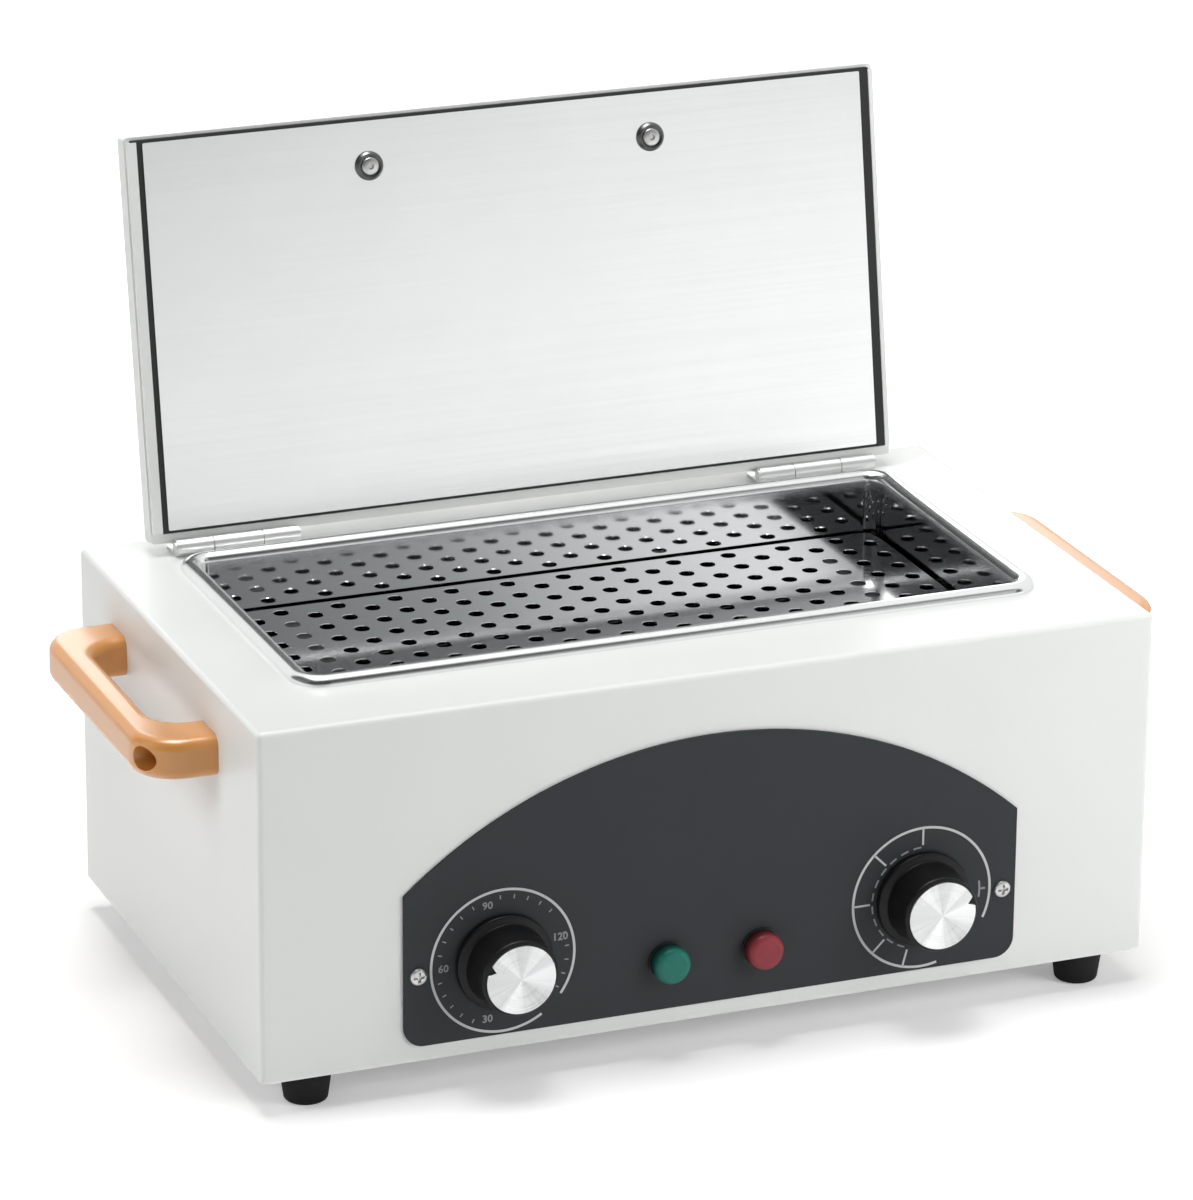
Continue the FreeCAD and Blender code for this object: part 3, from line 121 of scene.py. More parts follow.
# Values of the finishes
WHITE = (0.80, 0.815, 0.80)
TANK_COLOUR = (0.83, 0.84, 0.84)
TANK_POLISH, BEAD_POLISH = 0.06, 0.22
# Painted shade of the tank below the tray: share of its colour there, and the height over which it fades in
UNDER_TRAY_SHADE_SHARE, UNDER_TRAY_SHADE_FADE = 0.07, 3 * MM
# Share of the lens colour at its back: painted shade on the side toward the panel
LENS_SIDE_PAINTED_SHADE = 0.12
PAINT_UNEVEN = 0.12
METAL_UNEVEN = 0.06
GROOVE_LEAN = 0.75
# Painted sheen of the caps: size of its wedges, their band of the noise and the share of colour they give
PAINTED_SHEEN_SCALE, PAINTED_SHEEN_BAND, PAINTED_SHEEN_TONE = 1.6, (0.36, 0.62), (0.78, 1.08)
LINE_BUMP = 0.00005
ALL_WAYS = (500.0, 500.0, 500.0)
ROLLED = (4.0, 900.0, 900.0)
ROLLED_WIDE = (6.0, 700.0, 700.0)
WORLD_WHITE = (1, 1, 1, 1)

# Lamps: place, side, power, and whether metal mirrors them
WORLD_LIGHT = 0.12
LAMPS = {
    "left": ((-1.7, 0.1, 1.1), 1.0, 13, True),
    "right": ((0.75, -0.8, 0.5), 0.5, 6.5, False),
    "top": ((-0.1, 0.12, 2.2), 0.9, 30, True),
    "back": ((0.5, 1.9, 0.9), 1.2, 7, True),
}
LAMP_AIM = (0, 0, 0.12)

# Floor and screens. A high screen is dark, then grows brighter up to a slanting edge, past which it
# is dark again: its steps are shares of the way across the slanted band.
FLOOR = [(-6, -6, 0), (6, -6, 0), (6, 6, 0), (-6, 6, 0)]
SCREENS = {
    "front_screen": [(-1.3, -1.2, 0.48), (1.9, -1.2, 0.48), (1.9, -1.2, 2.4), (-1.3, -1.2, 2.4)],
    "low_screen": [(-1.3, -1.2, 0.02), (1.9, -1.2, 0.02), (1.9, -1.2, 0.48), (-1.3, -1.2, 0.48)],
    "left_screen": [(-1.3, -1.2, 0.40), (-1.3, 1.2, 0.40), (-1.3, 1.2, 2.4), (-1.3, -1.2, 2.4)],
}
SCREEN_SLANT, SCREEN_BAND = -0.6, (-0.6, 0.4)
SCREEN_STEPS = (
    (0.35, (0.03, 0.03, 0.032)),
    (0.66, (0.36, 0.37, 0.37)),
    (0.80, (0.85, 0.85, 0.85)),
    (0.912, (1.2, 1.2, 1.2)),
    (0.920, (0.02, 0.02, 0.02)),
)
GLOW_WAY, GLOW_BAND, GLOW_LIGHT = (0.73, 0, -1.3), (-0.66, 0.34), (0.5, 1.3)
FLOOR_BAND, FLOOR_LIFT = (0.3, 1.4), (0.22, 1.0)

# Camera
EYE_LENS, EYE_SENSOR = 189.2, 36
EYE_SHIFT = (0.0294, 0.0119)
EYE_PLACE = (-0.8579, -2.1153, 0.9826)
EYE_TURN = np.radians((69.691, -0.338, -21.481))
EYE_FAR = 50


# Shapes

def grid_faces(rows, columns, wrap_columns):
    """Quads of a grid: each cell joins a point to its neighbours along both ways."""
    row, column = np.meshgrid(np.arange(rows - 1), np.arange(columns - (not wrap_columns)), indexing="ij")
    after = (column + 1) % columns
    corners = [row * columns + column, row * columns + after,
               (row + 1) * columns + after, (row + 1) * columns + column]
    return np.stack(corners, -1).reshape(-1, 4)


def joined(forms):
    """Points and faces of several forms in one: the corners of each count on from those before it."""
    points, faces, count = [], [], 0
    for spots, cells in forms:
        points.append(spots.reshape(-1, 3))
        faces.extend((np.asarray(cell) + count).tolist() for cell in cells)
        count += len(points[-1])
    return np.concatenate(points), faces


def piece(name, points, faces, finish, body, crease=35):
    """Mesh object of points and faces, with doubles merged, faces outward and sharp folds kept."""
    mesh = bpy.data.meshes.new(name)
    mesh.from_pydata(points.reshape(-1, 3).tolist(), [], [list(face) for face in faces])
    work = bmesh.new()
    work.from_mesh(mesh)
    bmesh.ops.remove_doubles(work, verts=work.verts, dist=1e-6)
    bmesh.ops.recalc_face_normals(work, faces=work.faces)
    work.to_mesh(mesh)
    work.free()
    mesh.shade_smooth()
    mesh.set_sharp_from_angle(angle=np.radians(crease))
    mesh.materials.append(FINISH[finish])
    item = bpy.data.objects.new(name, mesh)
    bpy.context.scene.collection.objects.link(item)
    item.modifiers.new("even_normals", "WEIGHTED_NORMAL").keep_sharp = True
    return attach(item, body)


def softened(corners, radii, steps=6):
    """Polyline with arcs at its corners: each arc touches both sides and turns evenly about its centre."""
    corners = np.asarray(corners, float)
    path = [corners[:1]]
    for before, spot, after, radius in zip(corners[:-2], corners[1:-1], corners[2:], radii):
        back = (before - spot) / np.linalg.norm(before - spot)
        on = (after - spot) / np.linalg.norm(after - spot)
        half = np.arccos(np.clip(back @ on, -1, 1)) / 2
        centre = spot + (back + on) / np.linalg.norm(back + on) * radius / np.sin(half)
        start = spot + back * radius / np.tan(half) - centre
        end = spot + on * radius / np.tan(half) - centre
        turn = np.pi - 2 * half
        share = np.linspace(0, 1, steps)[:, None]
        path.append(centre + (np.sin((1 - share) * turn) * start + np.sin(share * turn) * end) / np.sin(turn))
    path.append(corners[-1:])
    return np.concatenate(path)


def turned(profile, centre, axes, steps=96):
    """Solid of revolution: (r, h) goes to centre + r cos a across + r sin a up + h along the axis."""
    across, up, along = np.asarray(axes, float)
    turn = np.linspace(0, 2 * np.pi, steps, endpoint=False)[None, :, None]
    radius, rise = profile[:, 0, None, None], profile[:, 1, None, None]
    points = np.asarray(centre) + radius * (np.cos(turn) * across + np.sin(turn) * up) + rise * along
    return points, grid_faces(len(profile), steps, True)


def screw_head(centre, axes, radius, rise, recess, steps=96):
    """Low head on a shank: its height at a share q of the radius is side + (1 - side) sqrt(1 - q q) of
    the rise, less the depth that the recess gives for that spot."""
    across, up, along = np.asarray(axes, float)
    turn = np.linspace(0, 2 * np.pi, steps, endpoint=False)[None, :, None]
    reach = np.linspace(1, 0, HEAD_RINGS)[:, None, None]
    side, height = radius * reach * np.cos(turn), radius * reach * np.sin(turn)
    dome = rise * (HEAD_SIDE + (1 - HEAD_SIDE) * np.sqrt(1 - reach ** 2)) - recess(side, height)
    top = np.asarray(centre) + side * across + height * up + dome * along
    stem = SHANK_SHARE * radius
    below = np.array([(0, -SHANK), (stem, -SHANK), (stem, 0), (radius, 0)])
    points = np.concatenate([turned(below, centre, axes, steps)[0], top])
    return points, grid_faces(len(points), steps, True)


def cross_recess(half, reach, depth):
    """Depth of a cross: full inside both arms, and it fades out over a small edge."""
    def sink(side, height):
        narrow = np.minimum(np.abs(side), np.abs(height))
        wide = np.maximum(np.abs(side), np.abs(height))
        inside = np.clip((half - narrow) / EDGE_FADE + 0.5, 0, 1)
        return depth * inside * np.clip((reach - wide) / EDGE_FADE, 0, 1)
    return sink


def round_recess(radius, depth):
    """Depth of a round socket that fades out over a small edge."""
    def sink(side, height):
        return depth * np.clip((radius - np.hypot(side, height)) / EDGE_FADE + 0.5, 0, 1)
    return sink


def rounded_rectangle(half_x, half_y, radius, steps=12):
    """Closed loop of spots and outward directions: four quarter arcs about the corner centres."""
    turn = (np.arange(4)[:, None] * 90 + np.linspace(0, 90, steps)[None, :]).ravel()
    quarter = np.repeat([[1, 1], [-1, 1], [-1, -1], [1, -1]], steps, 0)
    out = np.stack([np.cos(np.radians(turn)), np.sin(np.radians(turn))], -1)
    spots = quarter * np.array([half_x - radius, half_y - radius]) + radius * out
    return spots, out


def tank():
    """Deep drawn tank: one closed profile of bead, wall and floor carried round the rim. A spot of
    the profile that lies d inside the middle of the bead moves d against the outward direction."""
    low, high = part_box("chamber_tank")
    middle = (low + high) / 2
    half_x, half_y = (high.x - low.x) / 2 - BEAD, (high.y - low.y) / 2 - BEAD
    seat, floor = high.z - BEAD, low.z + TANK_SHEET
    hollow, reach = BEAD - TANK_SHEET, TANK_FOLD + TANK_SHEET
    over = np.linspace(0, np.pi, BEAD_STEPS)
    fold = np.linspace(np.pi, 1.5 * np.pi, FOLD_STEPS)
    bend = np.array([BEAD + TANK_FOLD, floor + TANK_FOLD])
    way = np.stack([np.cos(fold), np.sin(fold)], -1)
    bead_out = np.stack([-BEAD * np.cos(over), seat + BEAD * np.sin(over)], -1)
    inside, outside = bend + TANK_FOLD * way, bend + reach * way
    bead_in = np.stack([hollow * np.cos(over), seat + hollow * np.sin(over)], -1)
    profile = np.concatenate([bead_out, inside, outside[::-1], bead_in, bead_out[:1]])
    spots, out = rounded_rectangle(half_x, half_y, RIM_CORNER - BEAD)
    points = np.empty((len(profile), len(spots), 3))
    points[..., :2] = spots[None] - profile[:, :1, None] * out[None] + np.array([middle.x, middle.y])
    points[..., 2] = profile[:, 1:]
    columns = len(spots)
    faces = grid_faces(len(profile), columns, True)
    last_inside = len(bead_out) + len(inside) - 1
    keep = faces[:, 0] // columns != last_inside
    caps = [np.arange(columns) + row * columns for row in (last_inside, last_inside + 1)]
    made = piece("drawn_tank", points, list(faces[keep]) + caps, "tank_steel", "case", TANK_CREASE)
    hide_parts("chamber_tank")


def tray():
    """Sheet with round holes. Every hole has a square cell whose edge spots join those of the hole
    that lie in the same direction; the outer cells stretch to the rounded edge of the sheet."""
    low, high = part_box("perforated_tray")
    middle = np.array([(low.x + high.x) / 2, (low.y + high.y) / 2])
    half = np.array([(high.x - low.x) / 2, (high.y - low.y) / 2])
    column, row = np.meshgrid(np.arange(TRAY_COLUMNS), np.arange(TRAY_ROWS), indexing="ij")
    x = (column - (TRAY_COLUMNS - 1) / 2) * TRAY_COLUMN
    stagger = np.where(column % 2 == 0, TRAY_ROW / 4, -TRAY_ROW / 4)
    y = (row - (TRAY_ROWS - 1) / 2) * TRAY_ROW + stagger + TRAY_HOLES_BACK
    side = np.linspace(-1, 1, 5)[:-1]
    one = np.ones(4)
    edge = np.concatenate([np.stack([one, side], -1), np.stack([-side, one], -1),
                           np.stack([-one, -side], -1), np.stack([side, -one], -1)])
    spots = np.stack([x, y], -1).reshape(-1, 1, 2)
    around = spots + edge * np.array([TRAY_COLUMN, TRAY_ROW]) / 2
    near = (row.reshape(-1, 1) == 0) & (edge[:, 1] == -1)
    far = (row.reshape(-1, 1) == TRAY_ROWS - 1) & (edge[:, 1] == 1)
    left = (column.reshape(-1, 1) == 0) & (edge[:, 0] == -1)
    right = (column.reshape(-1, 1) == TRAY_COLUMNS - 1) & (edge[:, 0] == 1)
    around[..., 1] = np.where(near, -half[1], np.where(far, half[1], np.minimum(around[..., 1], half[1])))
    around[..., 0] = np.where(left, -half[0], np.where(right, half[0], around[..., 0]))
    beyond = np.abs(around) - (half - TRAY_CORNER)
    reach = np.linalg.norm(np.maximum(beyond, 0), axis=-1, keepdims=True)
    outside = (beyond.min(-1, keepdims=True) > 0) & (reach > TRAY_CORNER)
    pull = np.where(outside, TRAY_CORNER / np.maximum(reach, 1e-9), 1)
    around = np.where(outside, np.sign(around) * (half - TRAY_CORNER + beyond * pull), around)
    angle = np.arctan2(edge[:, 1] * TRAY_ROW, edge[:, 0] * TRAY_COLUMN)
    ray = np.stack([np.cos(angle), np.sin(angle)], -1)
    eased, bored = spots + ray * (TRAY_HOLE + HOLE_EDGE), spots + ray * TRAY_HOLE
    top, under = high.z, low.z
    rings = [(around, top), (eased, top), (bored, top - HOLE_EDGE), (bored, under), (around, under)]
    points = np.empty((len(around), len(rings), len(edge), 3))
    for number, (ring, level) in enumerate(rings):
        points[:, number, :, :2] = ring + middle
        points[:, number, :, 2] = level
    one_cell = grid_faces(len(rings), len(edge), True)
    step = len(rings) * len(edge)
    faces = (np.arange(len(around))[:, None, None] * step + one_cell[None]).reshape(-1, 4)
    made = piece("punched_tray", points, faces, "tray_steel", "case", TRAY_CREASE)
    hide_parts("perforated_tray")


def moving_body(node):
    """Name of the body that a node of the frame belongs to."""
    return next(name for name, nodes in frame["record"]["behaviour"]["bodies"].items() if node in nodes)


def knob(name, mark):
    """Turned knob with a skirt, and a metal cap whose edge has a notch in the direction of its mark."""
    low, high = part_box(f"{name}_knob")
    cap_low, cap_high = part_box(f"{name}_knob_cap")
    centre = ((low.x + high.x) / 2, high.y, (low.z + high.z) / 2)
    reach, rise = (high.z - low.z) / 2, high.y - low.y
    corners = [(KNOB_NECK, 0), (reach, 0), (reach, SKIRT), (KNOB_WAIST, SKIRT_RISE), (KNOB_CROWN, rise),
               (0, rise)]
    hollow = [(0, KNOB_HOLLOW), (KNOB_NECK, KNOB_HOLLOW)]
    points, faces = turned(np.concatenate([hollow, softened(corners, KNOB_ROUNDS)]), centre, FRONT)
    made = piece(f"{name}_knob_turned", points, faces, "knob_plastic", moving_body(f"{name}_knob"))
    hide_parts(f"{name}_knob")
    cap(name, mark, centre, cap_low, cap_high)


def cap(name, mark, centre, low, high):
    """Round sheet: its radius falls evenly to the bottom of the notch on both sides of the mark."""
    turn = np.linspace(0, 2 * np.pi, CAP_STEPS + 1)[:-1]
    away = np.abs((turn - mark + np.pi) % (2 * np.pi) - np.pi)
    radius, sheet = (high.z - low.z) / 2, high.y - low.y
    share = np.minimum(away * radius / (CAP_NOTCH_WIDE / 2), 1)
    edge = radius - CAP_NOTCH_DEEP * (1 - share)
    rows = [(0, 0), (1, 0), (1, sheet - CAP_EDGE), (CAP_LIP, sheet), (CAP_FLAT, sheet),
            (0, sheet - CAP_EDGE / 2)]
    points = np.empty((len(rows), len(turn), 3))
    for number, (part, level) in enumerate(rows):
        points[number, :, 0] = centre[0] + part * edge * np.sin(turn)
        points[number, :, 1] = high.y - level
        points[number, :, 2] = centre[2] + part * edge * np.cos(turn)
    faces = grid_faces(len(rows), len(turn), True)
    body = moving_body(f"{name}_knob")
    made = piece(f"{name}_cap_spun", points, faces, f"{name}_cap", body, CAP_CREASE)
    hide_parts(f"{name}_knob_cap")


def lamp(colour):
    """Turned lens with a flat front and a soft rim."""
    low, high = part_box(f"lamp_lens_{colour}")
    centre = ((low.x + high.x) / 2, high.y, (low.z + high.z) / 2)
    radius, rise = (high.x - low.x) / 2, high.y - low.y
    outline = softened([(0, 0), (radius, 0), (radius, rise), (0, rise)], [LENS_SEAT, LENS_ROUND], 10)
    points, faces = turned(outline, centre, FRONT)
    made = piece(f"lamp_lens_{colour}_turned", points, faces, f"lens_{colour}", "case")
    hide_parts(f"lamp_lens_{colour}")


def foot(name):
    """Tapered foot turned about a plumb axis, with a rounded tread and a sunk screw hole."""
    low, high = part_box(f"foot_{name}")
    centre = ((low.x + high.x) / 2, (low.y + high.y) / 2, low.z)
    top, rise = (high.x - low.x) / 2, high.z - low.z
    corners = [(0, FOOT_SINK), (FOOT_HOLE, FOOT_SINK), (FOOT_HOLE, 0), (FOOT_TREAD, 0), (top, rise),
               (0, rise)]
    points, faces = turned(softened(corners, FOOT_ROUNDS), centre, UPRIGHT, 64)
    made = piece(f"foot_{name}_turned", points, faces, "foot_rubber", "case")
    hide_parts(f"foot_{name}")


def panel_screws():
    """Two heads with a cross recess, on the face of the panel."""
    low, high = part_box("panel_screws")
    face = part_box("front_panel")[0].y
    middle = (low.z + high.z) / 2
    sink = cross_recess(CROSS_HALF, CROSS_REACH, CROSS_DEEP)
    heads = [screw_head((x, face, middle), FRONT, PANEL_HEAD, PANEL_HEAD_RISE, sink)
             for x in (low.x + PANEL_HEAD, high.x - PANEL_HEAD)]
    made = piece("panel_screw_heads", *joined(heads), "screw_steel", "case")
    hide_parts("panel_screws")


def liner_screws():
    """Two screws of the lid, each in a turned cup washer that stands on the liner."""
    low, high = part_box("liner_washers")
    across, up, along = np.array(LID_FRONT, float)
    washer = (high.z - low.z) / 2
    middle = np.array([0, (low.y + high.y) / 2, (low.z + high.z) / 2])
    centres = [middle + across * x for x in (low.x + washer, high.x - washer)]
    corners = [(0, -SHANK / 2), (CUP_WIDE, -SHANK / 2), (CUP_WIDE, CUP_SIDE),
               (CUP_WIDE - CUP_TAPER, CUP_HIGH), (LINER_HEAD, CUP_SEAT), (0, CUP_SEAT)]
    cups = [turned(softened(corners, CUP_ROUNDS), centre, LID_FRONT) for centre in centres]
    made = piece("liner_cup_washers", *joined(cups), "washer_steel", "lid")
    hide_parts("liner_washers")
    sink = round_recess(SOCKET, SOCKET_DEEP)
    heads = [screw_head(centre + along * CUP_SEAT, LID_FRONT, LINER_HEAD, LINER_HEAD_RISE, sink)
             for centre in centres]
    made = piece("liner_screw_heads", *joined(heads), "screw_steel", "lid")
    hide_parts("liner_screws")


def lid_strips():
    """White folded edges beside the seal: a flat rounded bar on each side. A spot of the section that
    stands p proud lies at hinge + r up + p along, where r runs up the open lid."""
    low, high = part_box("lid_seal")
    pin_low, pin_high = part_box("hinge_pin_left")
    hinge = (pin_low + pin_high) / 2
    up, along = LID_FRONT[1], LID_FRONT[2]
    reach = np.array([[(low.z - hinge.z) / up[2] + STRIP_SHORT], [(high.z - hinge.z) / up[2] - STRIP_SHORT]])
    forms = []
    for side, (left, right) in ((low.x, STRIP_LEFT), (high.x, STRIP_RIGHT)):
        corners = [(side + left, STRIP_BACK), (side + left, STRIP_FRONT), (side + right, STRIP_FRONT),
                   (side + right, STRIP_BACK), (side + left, STRIP_BACK)]
        x, proud = softened(corners, STRIP_ROUNDS)[:-1].T
        points = np.stack([np.broadcast_to(x, (2, len(x))), hinge.y + reach * up[1] + proud * along[1],
                           hinge.z + reach * up[2] + proud * along[2]], -1)
        loop = np.arange(len(x))
        forms.append((points, [*grid_faces(2, len(x), True), loop, loop + len(x)]))
    piece("lid_edge_strips", *joined(forms), "lid_paint", "lid")


# Marks printed on the panel

def stripe(path, width):
    """Flat line of ink: the path is moved half a width to both sides and given a thin edge."""
    along = np.gradient(path, axis=0)
    along /= np.linalg.norm(along, axis=1, keepdims=True)
    side = np.stack([-along[:, 1], along[:, 0]], -1) * width / 2
    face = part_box("front_panel")[0].y
    points = np.empty((4, len(path), 3))
    for row, (way, level) in enumerate([(1, 0), (1, PRINT_HIGH), (-1, PRINT_HIGH), (-1, 0)]):
        points[row, :, [0, 2]] = (path + way * side).T
        points[row, :, 1] = face - level
    end = np.arange(4)
    return points.transpose(1, 0, 2), [*grid_faces(len(path), 4, True), end, end + 4 * (len(path) - 1)]


def arc(centre, radius, start, end):
    """Spots on a circle between two directions, one about every three degrees."""
    turn = np.radians(np.linspace(start, end, max(3, int(abs(end - start) / 3))))
    return np.stack([centre[0] + radius * np.sin(turn), centre[1] + radius * np.cos(turn)], -1)


def spoke(centre, direction, reaches):
    """Spots at several reaches along one direction from the middle of a dial."""
    way = np.array([np.sin(np.radians(direction)), np.cos(np.radians(direction))])
    return centre + np.asarray(reaches)[:, None] * way


def mark(centre, direction, inner, outer):
    """Short straight path along one direction."""
    return spoke(centre, direction, np.linspace(inner, outer, 3))


def prints(name, lines, finish):
    """One mesh of all the lines of a dial."""
    return piece(name, *joined(stripe(path, width) for path, width in lines), finish, "case")


def dial(name):
    """Middle of a dial on the panel."""
    low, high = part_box(f"{name}_knob")
    return np.array([(low.x + high.x) / 2, (low.z + high.z) / 2])


def timer_prints():
    """Open ring, faint ticks and the numbers between them."""
    centre = dial("timer")
    prints("timer_ring", [(arc(centre, RING, *TIMER_RING), RING_LINE)], "dial_print")
    ticks = [(mark(centre, TICK_FIRST + TICK_TURN * step, TICK_INNER, TICK_OUTER), TICK_LINE)
             for step in range(TICKS) if step % TICKS_PER_NUMBER]
    prints("timer_ticks", ticks, "dial_faint")
    numbers("timer_numbers", centre, TIMER_NUMBERS)


def heat_prints():
    """Open ring, spokes at five stops, a broken arc that joins them, and the mark of the rest place."""
    centre = dial("heat")
    lines = [(arc(centre, RING, *HEAT_RING), RING_LINE)]
    lines += [(mark(centre, stop, STOP_INNER, RING), STOP_LINE) for stop in HEAT_STOPS]
    prints("heat_ring", lines, "dial_print")
    dashes = [(arc(centre, DASH_REACH, start, start + DASH_TURN), DASH_LINE) for start in DASH_STARTS]
    dashes.append((arc(centre, REST_INNER, REST_MARK - REST_HALF, REST_MARK + REST_HALF), STOP_LINE))
    dashes.append((mark(centre, REST_MARK, REST_INNER, REST_OUTER), STOP_LINE))
    prints("heat_dashes", dashes, "dial_faint")


def numbers(name, centre, words):
    """Numerals of a dial, upright, each centred on its direction, as a thin mesh on the panel."""
    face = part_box("front_panel")[0].y
    forms = []
    for direction, word in words.items():
        curve = bpy.data.curves.new(word, "FONT")
        curve.body = word
        curve.size = NUMBER_HIGH
        curve.align_x, curve.align_y = "CENTER", "CENTER"
        curve.extrude = PRINT_HIGH / 2
        curve.offset = NUMBER_BOLD
        curve.resolution_u = 2
        text = bpy.data.objects.new(word, curve)
        flat = bpy.data.meshes.new_from_object(text)
        spot = spoke(centre, direction, [NUMBER_REACH])[0]
        flat.transform(Matrix.Translation((spot[0], face - PRINT_HIGH / 2, spot[1]))
                       @ Matrix.Rotation(np.pi / 2, 4, "X"))
        spots = np.empty(3 * len(flat.vertices))
        flat.vertices.foreach_get("co", spots)
        forms.append((spots, [list(cell.vertices) for cell in flat.polygons]))
        bpy.data.objects.remove(text)
        bpy.data.curves.remove(curve)
        bpy.data.meshes.remove(flat)
    return piece(name, *joined(forms), "dial_faint", "case")


# Nodes of the finishes

def add(tree, kind, **settings):
    """New shader node with its options set."""
    node = tree.nodes.new(f"ShaderNode{kind}")
    for option, value in settings.items():
        setattr(node, option, value)
    return node


def feed(tree, place, value):
    """Link a socket to an input, or set the input to a plain value."""
    if isinstance(value, bpy.types.NodeSocket):
        tree.links.new(value, place)
    else:
        place.default_value = value


def feed_all(tree, node, **values):
    """Link or set several inputs of a node by their titles."""
    for title, value in values.items():
        feed(tree, node.inputs[title.replace("_", " ")], value)


def here(tree):
    """Place of a spot in the piece's own coordinates."""
    return add(tree, "TexCoord").outputs["Object"]


def parts_of(tree, vector):
    """The three parts of a vector, as outputs X, Y and Z."""
    node = add(tree, "SeparateXYZ")
    tree.links.new(vector, node.inputs[0])
    return node.outputs


def sums(tree, operation, *values):
    """Result of a math node on its values."""
    node = add(tree, "Math", operation=operation)
    for place, value in zip(node.inputs, values):
        feed(tree, place, value)
    return node.outputs[0]


def vector_sums(tree, operation, *values):
    """Results of a vector math node on its values."""
    node = add(tree, "VectorMath", operation=operation)
    for place, value in zip(node.inputs, values):
        feed(tree, place, value)
    return node.outputs


def scaled(tree, vector, share):
    """A colour or a direction times a share."""
    node = add(tree, "VectorMath", operation="SCALE")
    tree.links.new(vector, node.inputs[0])
    tree.links.new(share, node.inputs["Scale"])
    return node.outputs[0]


def carried(tree, value, band, to_band, way="LINEAR"):
    """Value carried from one band to another, and held at its ends."""
    node = add(tree, "MapRange", interpolation_type=way)
    for place, amount in zip(node.inputs, (value, *band, *to_band)):
        feed(tree, place, amount)
    return node.outputs["Result"]


def noise(tree, spot, scale, detail):
    """Value of a noise texture at a spot."""
    node = add(tree, "TexNoise")
    feed_all(tree, node, Vector=spot, Scale=scale, Detail=detail)
    return node.outputs["Fac"]


def bumped(tree, height, depth, distance):
    """Normal of a surface that rises and falls with a height."""
    node = add(tree, "Bump")
    feed_all(tree, node, Height=height, Strength=depth, Distance=distance)
    return node.outputs["Normal"]


def node_group(name, inputs, outputs):
    """Empty shader node group with its sockets."""
    tree = bpy.data.node_groups.new(name, "ShaderNodeTree")
    for title, kind, value in inputs:
        socket = tree.interface.new_socket(title, in_out="INPUT", socket_type=f"NodeSocket{kind}")
        socket.default_value = value
    for title, kind in outputs:
        tree.interface.new_socket(title, in_out="OUTPUT", socket_type=f"NodeSocket{kind}")
    return tree, tree.nodes.new("NodeGroupInput").outputs, tree.nodes.new("NodeGroupOutput").inputs


def fine_grain():
    """Small even unevenness of a surface, such as powder coat or moulded plastic."""
    inputs = [("Scale", "Float", 900.0), ("Depth", "Float", 0.02), ("Distance", "Float", 0.0002)]
    tree, given, out = node_group("fine_grain", inputs, [("Normal", "Vector")])
    height = noise(tree, here(tree), given["Scale"], 2)
    feed(tree, out["Normal"], bumped(tree, height, given["Depth"], given["Distance"]))
    return tree


def soft_patches():
    """Broad uneven tone: a colour and a roughness that drift a little over the surface."""
    inputs = [("Colour", "Color", (0.8, 0.8, 0.8, 1)), ("Colour drift", "Float", 0.04),
              ("Roughness", "Float", 0.4), ("Roughness drift", "Float", 0.08), ("Scale", "Float", 25.0)]
    tree, given, out = node_group("soft_patches", inputs, [("Colour", "Color"), ("Roughness", "Float")])
    centred = sums(tree, "SUBTRACT", noise(tree, here(tree), given["Scale"], 4), 0.5)
    shade = sums(tree, "MULTIPLY_ADD", centred, given["Colour drift"], 1)
    feed(tree, out["Colour"], scaled(tree, given["Colour"], shade))
    rough = sums(tree, "MULTIPLY_ADD", centred, given["Roughness drift"], given["Roughness"])
    feed(tree, out["Roughness"], rough)
    return tree


def rolled_lines():
    """Fine lines left by rolling or brushing: noise drawn out along one direction."""
    inputs = [("Stretch", "Vector", ROLLED), ("Roughness", "Float", 0.2), ("Roughness drift", "Float", 0.1),
              ("Depth", "Float", 0.05)]
    tree, given, out = node_group("rolled_lines", inputs, [("Roughness", "Float"), ("Normal", "Vector")])
    drawn = vector_sums(tree, "MULTIPLY", here(tree), given["Stretch"])[0]
    line = noise(tree, drawn, 1, 3)
    centred = sums(tree, "SUBTRACT", line, 0.5)
    rough = sums(tree, "MULTIPLY_ADD", centred, given["Roughness drift"], given["Roughness"])
    feed(tree, out["Roughness"], rough)
    feed(tree, out["Normal"], bumped(tree, line, given["Depth"], LINE_BUMP))
    return tree


